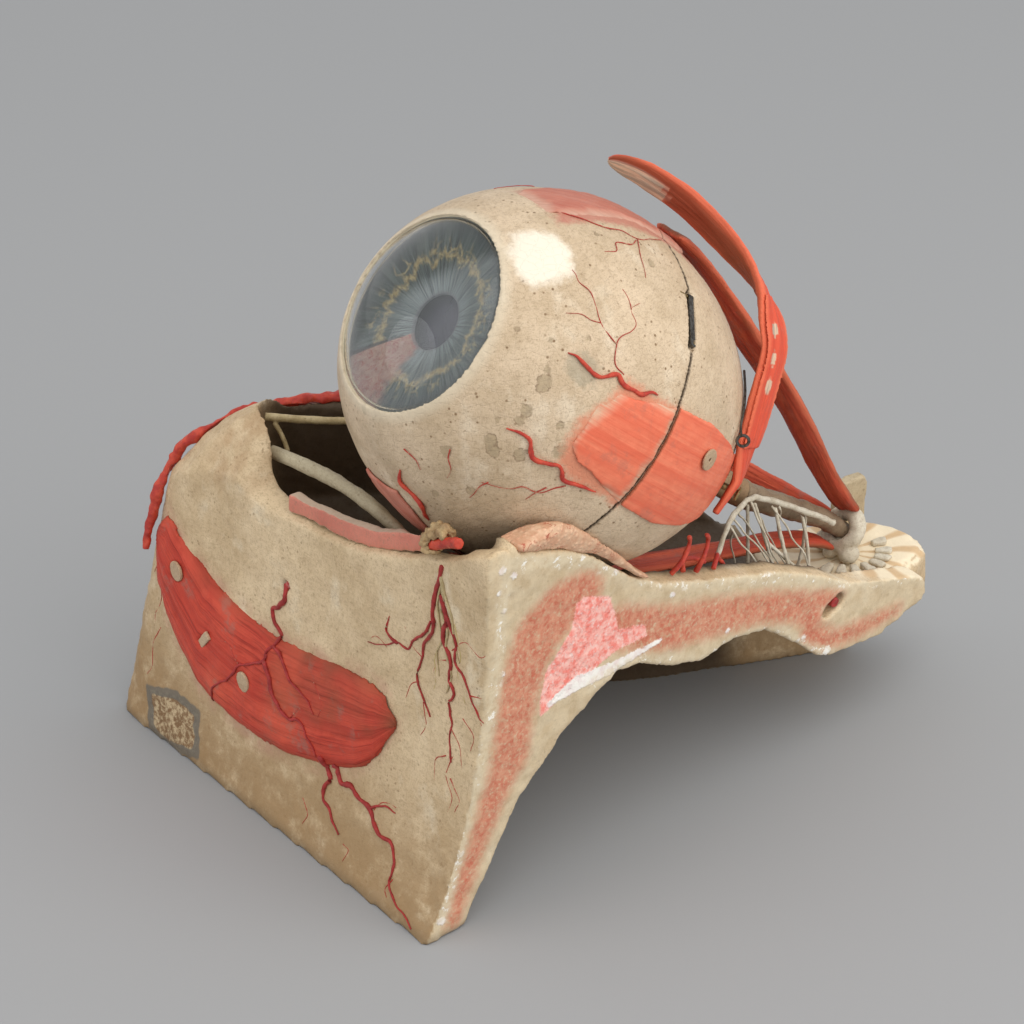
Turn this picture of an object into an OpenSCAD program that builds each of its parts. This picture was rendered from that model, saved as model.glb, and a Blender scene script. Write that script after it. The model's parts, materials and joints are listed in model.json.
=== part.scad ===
// Anatomical eye model in papier-mache, about five times life size: a globe that opens in
// nested shells, lying in a cut block of the left orbit and cheek. The globe looks along -Y and
// up, the cut outer side of the orbit faces +X, and the block stands on Z = 0.

/* [Globe] */
// Height of the globe's centre above the table
globe_height = 160; // [159:0.5:163]
// Radius of the globe at its equator
globe_radius = 60; // [58:0.5:60.5]
// Half length of the globe along its optical axis
globe_half_length = 70.8; // [69:0.2:71.6]
// Upward pitch of the optical axis, in degrees
gaze_pitch = 39.3; // [38:0.1:40.5]
// Thickness of the white outer coat
sclera_wall = 4.6; // [4:0.1:5]
// Thickness of the vascular coat
choroid_wall = 2; // [1.6:0.1:2.4]
// Thickness of the retina
retina_wall = 1.4; // [1:0.1:1.8]
// Thickness of the blown glass vitreous
vitreous_wall = 1.8; // [1.4:0.1:2.4]
// Free space between one coat and the next
coat_gap = 0.4; // [0.3:0.05:0.6]
// Free space across the seam between the two halves
seam_gap = 0.4; // [0.3:0.05:0.6]

/* [Cornea, iris and lens] */
// Radius of the round window that holds the cornea
limbus_radius = 32.6; // [31:0.1:33]
// How far the window's plane lies behind the place where the globe is as wide as the window
limbus_inset = 1.54; // [1.2:0.02:2]
// Height of the glass dome above the window's plane
cornea_rise = 12; // [10:0.5:14]
// Thickness of the glass dome
cornea_wall = 1.6; // [1.2:0.1:2]
// Radius of the pupil
pupil_radius = 9.3; // [7:0.1:11]
// Depth of the pupil behind the window's plane
pupil_depth = 6.9; // [6.4:0.1:7.4]
// Radius of the crystalline lens
lens_radius = 22; // [20:0.5:23]
// Thickness of the crystalline lens
lens_thickness = 18; // [16:0.5:19]

/* [Muscles and nerve] */
// Thickness of the flat muscle ends on the globe
insertion_thickness = 0.9; // [0.7:0.1:1.3]
// Half width of the outer muscle's end on the globe
side_insertion = 17.5; // [15:0.5:19]
// Half width of the other muscles' ends
top_insertion = 12; // [10:0.5:14]
// Thickness of the free muscle straps
strap_thickness = 4; // [3.4:0.1:4.4]
// Width of the free muscle straps
strap_width = 14; // [12:0.5:15]
// Radius of the optic nerve
nerve_radius = 5; // [4.6:0.1:5.4]
// Radius of the peg that carries the globe
peg_radius = 2.4; // [2:0.1:2.6]
// Length of the peg
peg_length = 14; // [10:1:16]
// Radial play of the pegs and pins in their holes
pin_play = 0.08; // [0.05:0.01:0.1]

/* [Orbit block] */
// Height of the cheek at its outer corner
cheek_height = 142; // [139:1:144]
// Wall thickness of the cheek
cheek_wall = 9; // [8:0.5:10]
// Hollow of the cheek between its top and its foot
cheek_dish = 10; // [8:0.5:12]
// Thickness of the cut outer face of the block
section_wall = 9; // [8:0.5:10]
// Thickness of the orbit's floor
floor_wall = 7; // [6:0.5:8]
// Top of the bone at the apex of the orbit
apex_top = 49; // [47:0.5:50]

/* [Vessels and labels] */
// Radius of the large facial artery
facial_artery_radius = 2.4; // [2:0.1:2.8]
// Radius of the arteries on the cheek
cheek_artery_radius = 1.1; // [0.9:0.1:1.3]
// Radius of the arteries laid on the globe
globe_artery_radius = 1; // [0.8:0.1:1.2]
// Radius of the round paper labels
label_radius = 3.6; // [3:0.1:4.2]

/* [Seam catch] */
// Width of the slot for the catch
slot_width = 3.6; // [3.2:0.1:4]
// Length of the slot along the seam
slot_length = 21; // [20:0.5:23]
// Depth of the slot
slot_depth = 2.6; // [2.4:0.1:2.8]
// Radius of the catch's pins
catch_pin_radius = 0.6; // [0.5:0.05:0.7]

/* [Hidden] */

centre_x = 34.47;       // sideways shift that centres the model over the origin
centre_y = -36.25;         // lengthways shift that does the same
seat = 0.3;             // free space where one painted piece lies on another
touch = 0.15;           // free space under what is glued down
seam_w = -1;            // place of the seam along the optical axis
lip_length = 3;         // length of the front half's locating lip
lip_wall = 1.1;         // thickness of that lip
fine = 96;              // facets of the large round pieces
small = 32;             // facets of the pins and rods

// ---- plain functions -------------------------------------------------------------------------
function clamp(v, lo = 0, hi = 1) = min(max(v, lo), hi);
function mix(a, b, t) = a + (b - a) * t;
function unit(v) = v / norm(v);
function reverse(p) = [for (i = [len(p) - 1:-1:0]) p[i]];
// one span of a smooth curve from b to c, with a and d beyond its ends
function span(a, b, c, d, t) = 0.5 * (2 * b + (c - a) * t + (2 * a - 5 * b + 4 * c - d) * t * t
    + (3 * b - a - 3 * c + d) * t * t * t);
// place on a chain of rows at a fractional index
function row_at(p, c) = let (e = len(p) - 1, i = min(floor(c), e - 1))
    span(p[max(i - 1, 0)], p[i], p[i + 1], p[min(i + 2, e)], c - i);
// smooth curve through rows, with n steps in each span
function curve(p, n = 4) = [for (k = [0:n * (len(p) - 1)]) row_at(p, k / n)];

// ---- skins swept through loops of points ------------------------------------------------------
function cap(o, n, turn) = [for (i = [0:n / 2 - 2],
        f = [[i, i + 1, n - 2 - i], [i, n - 2 - i, n - 1 - i]])
    turn ? [o + f[2], o + f[1], o + f[0]] : [o + f[0], o + f[1], o + f[2]]];
function skin_faces(n, m) = concat(
    [for (j = [0:m - 2], i = [0:n - 1]) let (a = j * n + i, b = j * n + (i + 1) % n)
        [a, b, b + n]],
    [for (j = [0:m - 2], i = [0:n - 1]) let (a = j * n + i, b = j * n + (i + 1) % n)
        [a, b + n, a + n]],
    cap(0, n, true), cap((m - 1) * n, n, false));
module skin(loops) {
    n = len(loops[0]);
    polyhedron(points = [for (l = loops) each l], faces = skin_faces(n, len(loops)));
}
function heading(p, i) = let (e = len(p) - 1) unit(p[min(i + 1, e)] - p[max(i - 1, 0)]);
// round rod along points; side is a direction that the rod never runs along
module rod(p, r, side = [0, 0, 1], sides = 8, taper = 1) {
    e = len(p) - 1;
    skin([for (i = [0:e]) let (t = heading(p, i), u = unit(cross(t, side)), v = cross(u, t),
            q = r * mix(1, taper, i / e))
        [for (k = [0:sides - 1]) let (a = 360 * k / sides) p[i] + q * (u * cos(a) + v * sin(a))]]);
}
// rows of [point, width direction, width, thickness], and the same rows moved off their face
function moved(rows, off) = [for (i = [0:len(rows) - 1]) let (r = rows[i],
        t = heading([for (q = rows) q[0]], i)) [r[0] + off * unit(cross(t, r[1])), r[1], r[2], r[3]]];
// flat strap along such rows
module strap(rows) {
    p = [for (q = rows) q[0]];
    skin([for (i = [0:len(p) - 1]) let (t = heading(p, i), n = unit(cross(t, rows[i][1])),
            u = unit(cross(n, t)), a = rows[i][2] / 2, b = rows[i][3] / 2)
        [for (q = [[-1, 0], [-0.86, 0.7], [-0.4, 1], [0.4, 1], [0.86, 0.7], [1, 0],
                   [0.86, -0.7], [0.4, -0.85], [-0.4, -0.85], [-0.86, -0.7]])
            p[i] + u * a * q.x + n * b * q.y]]);
}

// ---- the globe's own frame: u outwards, v up, w along the optical axis --------------------------
module on_globe() { translate([0, 0, globe_height]) rotate([90 - gaze_pitch, 0, 0]) children(); }
module in_place() { translate([centre_x, centre_y, 0]) children(); }
// radius of a coat whose outer face lies depth inside the globe's, at w
function coat_radius(depth, w) = (globe_radius - depth)
    * sqrt(max(1 - pow(w / (globe_half_length - depth), 2), 0));
// outline of that coat from w0 to w1, as radius and w
function coat(depth, w0, w1, n = 16) = let (a = globe_half_length - depth,
        s0 = asin(clamp(w0 / a, -1, 1)), s1 = asin(clamp(w1 / a, -1, 1)))
    [for (i = [0:n]) let (s = mix(s0, s1, i / n)) [(globe_radius - depth) * cos(s), a * sin(s)]];
// point lying lift above the globe at clock angle a and place w
function on_surface(a, w, lift) = let (r = coat_radius(0, w), n = unit([r, w * pow(globe_radius
        / globe_half_length, 2)])) [(r + lift * n.x) * cos(a), (r + lift * n.x) * sin(a), w + lift * n.y];
module shell(outer, inner, w0, w1) {
    rotate_extrude($fn = fine)
        polygon(concat(coat(outer, w0, w1), reverse(coat(inner, w0, w1))));
}
// turns +Z to the globe's normal at clock angle a and place w, lift above the surface
module on_normal(a, w, lift) {
    k = w * pow(globe_radius / globe_half_length, 2);
    translate(on_surface(a, w, lift)) rotate([0, 90 - atan2(k, coat_radius(0, w)), 0 + a])
        children();
}
// room swept by the globe, margin clear of it, as it is drawn off along the optical axis
module globe_room(margin) {
    on_globe() rotate_extrude($fn = fine) polygon(concat([[0, 160], [0, -globe_half_length - margin]],
        coat(-margin, -70, 0, 10), [[globe_radius + margin, 160]]));
}
// plane of the window, and places inside the front half measured back from it
limbus_plane = globe_half_length * sqrt(1 - pow(limbus_radius / globe_radius, 2)) - limbus_inset;
// moves a hand-set point beside the globe along with the globe's size; the apex end stays put
function follow(p) = let (t = clamp((p.z + 150) / 60)) [p.x * mix(1, globe_radius / 60, t),
    p.y * mix(1, globe_radius / 60, t), p.z * mix(1, globe_half_length / 70.8, t)];
seam_rear = seam_w - seam_gap / 2;
seam_front = seam_w + seam_gap / 2;
choroid_depth = sclera_wall + coat_gap;
retina_depth = choroid_depth + choroid_wall + coat_gap;
vitreous_depth = retina_depth + retina_wall + coat_gap;

// ---- the block: cut outer face, cheek and nasal wall ---------------------------------------------
// x of the cut outer face
function section_x(y, z) = 50 - 0.144 * (y + 78) + 0.0761 * z;
function dish(x, z) = cheek_dish * sin(180 * pow(clamp(z / cheek_height), 0.8)) * clamp((x + 110) / 160);
function cheek_y(x, z) = -78 + 0.0801 * (x - 50) + 0.1329 * z + dish(x, z);
function cheek_x(x, y, z) = x + clamp((x - 10) / 40) * (section_x(y, z) - 50);
// cheek columns: x, outer top, inner top, thickness
cheek_columns = [[50, cheek_height, cheek_height, cheek_wall],
    [40, cheek_height - 5.5, cheek_height - 5.5, cheek_wall - 0.6],
    [34, cheek_height - 10, cheek_height - 11, cheek_wall - 0.5],
    [22, cheek_height - 16, cheek_height - 17, cheek_wall], [-7, 114, 114, cheek_wall],
    [-38, 110, 110, cheek_wall], [-62, 108, 110, cheek_wall + 1], [-68, 110, 117, cheek_wall + 1],
    [-74, 112, 127, cheek_wall + 3], [-88, 109, 129, cheek_wall + 8]];
cheek_crest = 1.2;
// nasal columns: outer foot, outer top, inner foot, inner top, crest
nasal_columns = [
    [[-100, -90, 0], [-100, -77, 104], [-92, -62, 0], [-88, -55, 127], 3],
    [[-121.5, -92, 0], [-112, -77, 97], [-100, -60, 0], [-92, -50, 127], 4],
    [[-130, -89, 0], [-113.5, -72, 101], [-106, -64, 0], [-93, -45, 126], 4],
    [[-127, -80, 0], [-110, -65.5, 107], [-110, -64, 0], [-93, -42, 124], 3],
    [[-118, -62, 0], [-104, -55, 113.5], [-107, -55, 0], [-92, -38, 121], 2],
    [[-107, -42, 0], [-95, -38, 118.5], [-98, -38, 0], [-88, -32, 120.5], 1.5],
    [[-92, -14, 0], [-82, -14, 120], [-84, -10, 0], [-74, -10, 120], 1.5],
    [[-75, 16, 0], [-68, 16, 115], [-67, 20, 0], [-60, 20, 115], 2],
    [[-59, 47, 0], [-55, 47, 98], [-51, 50, 0], [-47, 50, 98], 2],
    [[-47, 78, 0], [-45, 78, 76], [-38, 79, 0], [-36, 79, 76], 2],
    [[-41, 96, 0], [-40, 96, 60], [-33, 97, 0], [-31.5, 97, 60], 1],
    [[-39, 103, 0], [-39, 103, 30.4], [-30, 104, 0], [-30, 104, 30.4], 0],
    [[-32, 125, 0], [-32, 125, 30.4], [-23, 126, 0], [-23, 126, 30.4], 0],
    [[-26, 146, 0], [-26, 146, 30.4], [-17, 147, 0], [-17, 147, 30.4], 0]];
inner_steps = [0, 0.2, 0.4, 0.6, 0.8, 1];
outer_steps = [1, 0.9, 0.8, 0.7, 0.6, 0.5, 0.38, 0.26, 0.13, 0];
// loop of a column; out and into thicken it on either side
function cheek_loop(c, out, into) = let (x = c[0]) concat(
    [for (f = inner_steps) let (z = c[2] * f, y = cheek_y(x, z) + c[3] + into) [cheek_x(x, y, z), y, z]],
    [for (f = [2, 1]) let (z = mix(c[1], c[2], f / 3) + cheek_crest + out,
        y = mix(cheek_y(x, c[1]) - out, cheek_y(x, c[2]) + c[3] + into, f / 3)) [cheek_x(x, y, z), y, z]],
    [for (f = outer_steps) let (z = c[1] * f, y = cheek_y(x, z) - out) [cheek_x(x, y, z), y, z]]);
function nasal_loop(c, out, into) = let (a = unit([c[0].y - c[2].y, c[2].x - c[0].x, 0]),
        s = unit([c[2].x - c[0].x, c[2].y - c[0].y, 0])) concat(
    [for (f = inner_steps) mix(c[2], c[3], f) + into * s],
    [for (f = [2, 1]) mix(c[1] - out * s, c[3] + into * s, f / 3) + [0, 0, c[4] + out]],
    [for (f = outer_steps) mix(c[0], c[1], f) - out * s]);
function wall_loops(out = 0, into = 0) = concat([for (c = cheek_columns) cheek_loop(c, out, into)],
    [for (c = nasal_columns) nasal_loop(c, out, into)]);
corner_column = 14;
last_column = len(cheek_columns) + len(nasal_columns) - 1;
module wall(c0, c1, out = 0, into = 0) {
    rows = wall_loops(out, into);
    n = ceil((c1 - c0) * 2);
    skin([for (k = [0:n]) let (c = mix(c0, c1, k / n), i = min(floor(c), last_column - 1),
            a = rows[max(i - 1, 0)], b = rows[i], d = rows[i + 1], e = rows[min(i + 2, last_column)])
        [for (q = [0:len(b) - 1]) let (p = span(a[q], b[q], d[q], e[q], c - i)) [p.x, p.y, max(p.z, 0)]]]);
}
function column_at(c) = row_at(concat([for (q = cheek_columns) let (y = cheek_y(q[0], q[1]))
    [cheek_x(q[0], y, q[1]), y, q[1]]], [for (q = nasal_columns) q[1]]), c);

// outline of the cut face, as distance along it and height
// the top edge leaves the cheek at the cheek's own height
section_top = [for (p = [[28.6, 143], [31, 139], [40, 136], [52, 131.5], [66, 123], [81, 110],
    [94, 102], [113, 95], [129, 90], [151, 83], [177, 70], [188, 63], [205, 57], [222, 51.5],
    [228, 48], [229, 43]]) [p.x, p.y + (cheek_height - 142) * clamp((129 - p.x) / 98)]];
section_foot = [[227, 39], [207, 32], [182, 35], [175, 38], [160, 51], [147, 61], [132, 64],
    [117, 61], [103, 66], [88, 73], [78, 74], [70, 70], [54, 60], [38, 41], [23, 12], [17, 0]];
function section_s(y) = (y + 78) / 0.9898;
section_front = [for (f = inner_steps) let (z = cheek_height * f) [section_s(cheek_y(50, z)
    + cheek_wall + seat), z]];
function section_z(y) = lookup(section_s(y), section_top);
// places children with +Z along the cut face's outward normal
module on_section() {
    multmatrix([[-0.1424, 0.0743, 0.987, 50], [0.9898, 0.0107, 0.142, -78],
        [0, 0.9972, -0.0751, 0], [0, 0, 0, 1]]) children();
}
// point on the cut face, out beyond it
function on_cut(s, h, out) = [50 - 0.1424 * s + 0.0743 * h + 0.987 * out,
    -78 + 0.9898 * s + 0.0107 * h + 0.142 * out, 0.9972 * h - 0.0751 * out];
carotid_s = 181;
carotid_h = 56;

// ---- floor of the orbit ----------------------------------------------------------------------------
// floor rows: y, nasal x, temporal x
floor_rows = [[-62, -62, -38], [-58.5, -71, -5], [-55, -79, 24], [-51.5, -86, 44], [-43, -93, 47],
    [-30, -90, 45], [-20, -86, 43], [-10, -81, 41.5], [6, -72, 39.5], [20, -66, 37], [36, -58, 34.5],
    [50, -52, 32], [64, -46.5, 29.5], [79, -40.5, 27.5], [90, -37, 25.5], [104.2, -31, 23.5]];
function floor_middle(y) = lookup(y, [[-62, 74], [-50, 75], [-20, 79], [0, 79], [30, 75], [68, 64],
    [100, 52], [105, 50]]);
floor_inner = [[-62, -92], [-40, -92], [-10, -78], [20, -63], [50, -49], [79, -38], [105, -30]];
// the floor sweeps up to the cut face, and a little to the nasal wall
function floor_z(x, y) = let (c = floor_middle(y), b = section_x(y, c + 20) - section_wall)
    c + max(section_z(y) - 6 - c, 0) * pow(clamp(1 - (b - x) / 32), 3)
    + 8 * pow(clamp(1 - (x - lookup(y, floor_inner)) / 30), 3);
floor_across = 12;

// ---- muscle on the cheek ---------------------------------------------------------------------------
muscle_low = [[-114, 72], [-111, 62], [-106, 50], [-95, 38.5], [-83, 29], [-66, 26], [-48, 25],
    [-30, 28], [-11, 33], [0, 38], [7, 44], [12, 54], [14, 59]];
muscle_high = [[-114, 78], [-111, 83], [-106, 86], [-95, 79], [-83, 71], [-66, 67], [-48, 65.5],
    [-30, 67], [-11, 70], [0, 70], [7, 69.5], [12, 66], [14, 62]];
muscle_rise = 4;
// height of the muscle above the cheek at x, z, with its edges spread out by margin
function muscle_lift(x, z, margin = 0) = let (a = lookup(x, muscle_low) - margin,
        b = lookup(x, muscle_high) + margin, q = (2 * z - a - b) / (b - a))
    muscle_rise * sqrt(max(1 - q * q, 0)) * clamp((x + 116 + margin) / 10) * clamp((17 + margin - x) / 10);
// points laid on the cheek and the muscle
function on_cheek(p, lift) = [for (q = p) [q[0], cheek_y(q[0], q[1]) - lift - 0.1
    - muscle_lift(q[0], q[1], 4), q[1]]];
cheek_labels = [[-97, 69], [-57, 45]];
label_strip = [-79, 51];

// ---- the orbit block -------------------------------------------------------------------------------
module cheek_shell() {
    color("tan") in_place() difference() {
        wall(0, corner_column - 0.008);
        globe_room(2);
    }
}
module nasal_wall() {
    color("wheat") in_place() wall(corner_column + 0.008, last_column);
}
module orbit_floor() {
    color("peru") in_place() difference() {
        skin([for (r = floor_rows) concat(
            [for (k = [0:floor_across]) let (x = mix(r[1], r[2], k / floor_across))
                [x, r[0], floor_z(x, r[0]) - floor_wall]],
            [for (k = [floor_across:-1:0]) let (x = mix(r[1], r[2], k / floor_across))
                [x, r[0], floor_z(x, r[0])]])]);
        wall(0, last_column, into = seat);
        on_section() translate([0, 0, -section_wall - seat]) linear_extrude(40)
            polygon([[-10, -5], [250, -5], [250, 160], [-10, 160]]);
        globe_room(2);
    }
}
module temporal_section() {
    color("bisque") in_place() difference() {
        on_section() translate([0, 0, -section_wall]) linear_extrude(section_wall)
            polygon(concat(section_front, section_top, section_foot));
        on_section() translate([carotid_s, carotid_h, -6]) rotate([0, 0, 28]) linear_extrude(10) {
            square([6, 5], center = true);
            translate([-3, 0]) circle(r = 2.5, $fn = small);
            translate([3, 0]) circle(r = 2.5, $fn = small);
        }
        globe_room(2);
    }
}
apex_plan = [[-39, 104.5], [-33, 125], [-27, 146], [-22, 155], [-13, 162], [-2, 164], [5.5, 161],
    [9.5, 154], [10.6, 150], [16.9, 104.5]];
module apex_block() {
    color("burlywood") in_place() {
        translate([0, 0, 30.7]) linear_extrude(apex_top - 33.2) polygon(apex_plan);
        translate([0, 0, 30.7]) linear_extrude(apex_top - 30.7)
            polygon([for (p = apex_plan) mix([-8, 130], p, 0.93)]);
    }
}
module apex_tab() {
    color("darkkhaki") in_place() translate([-22, 139, apex_top + touch]) rotate([90, 0, 90])
        linear_extrude(4) polygon([[0, 0], [13, 0], [13.4, 18], [12, 20.6], [2, 20.2], [0, 17]]);
}

// ---- on the cheek ------------------------------------------------------------------------------------
muscle_steps = 22;
module cheek_muscle() {
    color("firebrick") in_place() difference() {
        skin([for (i = [0:muscle_steps]) let (x = mix(-114.5, 14, i / muscle_steps),
                a = lookup(x, muscle_low), b = lookup(x, muscle_high)) concat(
            [for (k = [0:9]) let (z = mix(b, a, (1 - cos(20 * k)) / 2))
                [x, cheek_y(x, z) - seat - muscle_lift(x, z), z]],
            [for (k = [0:9]) let (z = mix(a, b, k / 9)) [x, cheek_y(x, z) + 2.5, z]])]);
        wall(3, 14, out = seat);
        for (q = cheek_labels) translate([q.x, cheek_y(q.x, q.y) - seat - muscle_lift(q.x, q.y), q.y])
            rotate([90, 0, 0]) translate([0, 0, -0.8]) cylinder(r = label_radius + touch, h = 4, $fn = small);
        translate([label_strip.x, cheek_y(label_strip.x, label_strip.y) - seat
            - muscle_lift(label_strip.x, label_strip.y), label_strip.y]) rotate([90, 0, 0])
            rotate([0, 0, 50]) translate([-4 - touch, -1.6 - touch, -0.8])
            cube([8 + 2 * touch, 3.2 + 2 * touch, 4]);
    }
}
module cheek_muscle_labels() {
    color("ivory") in_place() {
        for (q = cheek_labels) translate([q.x, cheek_y(q.x, q.y) - seat - muscle_lift(q.x, q.y), q.y])
            rotate([90, 0, 0]) translate([0, 0, -0.8 + touch])
                cylinder(r = label_radius, h = 1.1, $fn = small);
        translate([label_strip.x, cheek_y(label_strip.x, label_strip.y) - seat
            - muscle_lift(label_strip.x, label_strip.y), label_strip.y]) rotate([90, 0, 0])
            rotate([0, 0, 50]) translate([-4, -1.6, -0.8 + touch]) cube([8, 3.2, 1.1]);
    }
}
module cheek_vessel(p, r) { rod(curve(on_cheek(p, r + seat), 3), r, [0, -1, 0.1], 6, 0.7); }
module cheek_artery() {
    color("crimson") in_place() {
        cheek_vessel([[-47, 79], [-45, 73], [-43, 68], [-45, 60], [-54, 54], [-63, 45], [-72, 34]],
            cheek_artery_radius);
        cheek_vessel([[-42.5, 66], [-36, 60], [-27, 55], [-15, 50]], cheek_artery_radius * 0.8);
        cheek_vessel([[-14, 32], [-11, 26], [-10, 21], [-4, 18], [1, 16]], cheek_artery_radius * 0.9);
        cheek_vessel([[-4, 36], [5, 34], [13, 32], [20, 27], [24, 21], [28, 9], [41, 3]],
            cheek_artery_radius);
    }
}
module malar_vessels() {
    color("red") in_place() {
        cheek_vessel([[33, 122], [24, 110], [14, 100], [7, 89]], cheek_artery_radius * 0.8);
        cheek_vessel([[36, 120], [37, 108], [42, 92], [43, 80], [43, 67]], cheek_artery_radius * 0.8);
        cheek_vessel([[12, 82], [20, 74], [31, 65], [40, 61]], cheek_artery_radius * 0.7);
    }
}
module malar_nerves() {
    color("gold") in_place() {
        cheek_vessel([[30.6, 115], [28.6, 106], [26, 98], [23.4, 90]], 0.9);
        cheek_vessel([[33.6, 115], [33, 105], [33.5, 92], [33, 80]], 0.9);
        cheek_vessel([[39, 119], [42, 109], [46, 98], [49, 88]], 0.8);
    }
}
// path of the facial artery outside the edge of the wall
facial_lift = facial_artery_radius + seat;
facial_path = [[-84, -18, 122.8], [-87, -24, 122.6], [-91.5, -32, 122.4], [-95.5, -40, 120.6],
    [-99, -46, 119.4], [-102.5, -52, 119], [-104.5, -57, 116.2], [-107.5, -62, 112.8],
    [-110.5, -67, 110], [-113.4, -71, 105.6], [-114.6, -74, 99.6], [-115.6, -78.6, 92],
    [-115.4, -81, 85], [-116.2, -83.4, 77], [-115.4, -85.4, 69]];
module facial_artery() {
    color("firebrick") in_place() difference() {
        rod(curve(facial_path, 2), facial_artery_radius, [1, 0.3, 0.1], 10, 0.6);
        wall(8, 17, out = seat);
    }
}
module rim_bar() {
    bar = [for (x = [20, 8, -4, -16, -28, -38, -48]) let (z = lookup(x, [[-48, 109.4], [-38, 110],
        [-7, 114], [22, cheek_height - 16]])) [x, cheek_y(x, z) + 2.6, z + cheek_crest + seat + 0.2]];
    color("rosybrown") in_place() difference() {
        skin([for (p = bar) [for (q = [[0, -1], [4, -1], [4.4, 0.6], [4.4, 4.6], [3.6, 5.6], [0, 5.6]])
            p + [0, q.x, q.y]]]);
        wall(1, 8, out = seat, into = seat);
        globe_room(2);
    }
}
module inferior_oblique_rod() {
    color("tan") in_place() rod(curve([[-77, -56, 116], [-64, -54.5, 118], [-50, -53, 119.5],
        [-37, -52, 120.5], [-24, -50.5, 119.5], [-12, -48.8, 116.5], [-3, -47.5, 113]], 2), 2.6,
        [0, 0, 1], 10, 0.85);
}
module nasal_nerves() {
    color("khaki") in_place() {
        rod(curve([[-88.9, -51.7, 122.8], [-83.6, -41, 120.7], [-78.6, -28, 118.6],
            [-73, -13, 115.8], [-67.6, 0.4, 112.5]], 2), 1.5, [0, 0, 1], 10, 0.8);
        rod(curve([[-87, -49, 120.5], [-84.6, -47.6, 116], [-82, -47, 111]], 3), 1, [0, 1, 0], 8, 0.8);
    }
}
tuft = [[23, -57.5, 131.4, 3.2], [27.5, -58, 135.2, 4], [32, -59, 138, 3.8], [36, -59.5, 140.6, 3],
    [26, -57.5, 139, 2.8], [30.5, -61, 134, 3.2], [30, -58.5, 142, 2.4]];
stub = [[31, -61.5, 134.6], [36, -61, 137.6], [41, -60.6, 140.2], [45, -60.6, 141.9]];
module fat_tuft() {
    color("goldenrod") in_place() difference() {
        for (q = tuft) translate([q[0], q[1], q[2]]) sphere(r = q[3], $fn = 20);
        wall(0, 5, out = seat, into = seat);
        globe_room(0.6);
        rod(stub, 2.1, [0, 0, 1], 10);
    }
}
module tuft_artery() {
    color("orangered") in_place() difference() {
        rod(curve(stub, 2), 1.8, [0, 0, 1], 10);
        wall(0, 5, out = seat, into = seat);
    }
}
pad_rows = [[30.5, 1.2], [34, 4.5], [40, 8], [48, 10], [57, 9.5], [66, 7.5], [75, 4.8], [83, 2.4],
    [88, 1.4]];
module fat_pad() {
    color("sandybrown") in_place() difference() {
        skin([for (r = pad_rows) let (h = lookup(r[0], section_top) + 2 * seat, k = r[1])
            [on_cut(r[0], h, -0.4), on_cut(r[0], h + 0.35 * k, 0.8), on_cut(r[0], h + 0.7 * k, 1.2),
             on_cut(r[0], h + k, 0.2), on_cut(r[0], h + 0.96 * k, -3.4), on_cut(r[0], h + 0.6 * k, -9),
             on_cut(r[0], h + 0.3 * k, -9.5), on_cut(r[0], h, -9)]]);
        globe_room(0.6);
        wall(0, 4, out = seat, into = seat);
    }
}
module carotid_artery() {
    color("darkred") in_place() on_section() translate([carotid_s + 1.2, carotid_h + 0.6, -6 + touch])
        cylinder(r = 1.9, h = 5, $fn = small);
}
module ganglion_fan() {
    color("cornsilk") in_place() for (a = [-62, -42, -22, -2, 18, 38, 58, 80])
        translate([-7, 134, apex_top + touch]) rotate([0, 0, a]) linear_extrude(a % 4 == 2 ? 1.6 : 2.1)
            polygon([[11, -1.1], [15.5, -1.9], [a < -50 ? 21 : 16.5, -1.7], [a < -50 ? 21.5 : 17.2, 1.4],
                [15.5, 1.9], [11, 1.1]]);
}
ring_centre = [-7, 6, -167];
ring_radius = 6.4;
ring_tube = 2.7;
module tendon_ring() {
    color("antiquewhite") in_place() difference() {
        union() {
            on_globe() translate(ring_centre) rotate_extrude($fn = 40) translate([ring_radius, 0])
                circle(r = ring_tube, $fn = 14);
            translate([-8, 136, apex_top + 5]) sphere(r = 4.9, $fn = 24);
            translate([-1, 131, apex_top + 4]) sphere(r = 3.9, $fn = 24);
            translate([-13, 130, apex_top + 4]) sphere(r = 3.9, $fn = 24);
            translate([-7, 128.4, apex_top + 3]) sphere(r = 3, $fn = 20);
        }
        on_globe() translate(ring_centre - [0, 0, 5])
            cylinder(r = 0.62 * nerve_radius + 0.4, h = 30, $fn = small);
        translate([-40, 100, apex_top - 20]) cube([60, 70, 20 + touch]);
    }
}

// ---- optic nerve and the orbit's muscles ------------------------------------------------------------
socket_start = -globe_half_length - 13.5;
socket_end = socket_start - 19.7;
module optic_nerve() {
    color("antiquewhite") in_place() on_globe() rod(curve([[0, 0, socket_end - seat],
        [-0.5, 0.6, socket_end - 8], [-2, 2.4, -125], [-4.6, 4.4, -140], [-6.4, 5.6, -152],
        [-7, ring_centre.y, -162], ring_centre - [0, 0, 1]], 2), nerve_radius, [1, 0, 0], 16, 0.62);
}
module optic_socket() {
    color("peru") in_place() on_globe() rotate_extrude($fn = 48) polygon([
        [peg_radius + pin_play, socket_start], [nerve_radius, socket_start], [nerve_radius, socket_end],
        [0, socket_end], [0, socket_start - peg_length - 0.5],
        [peg_radius + pin_play, socket_start - peg_length - 0.5]]);
}
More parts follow.
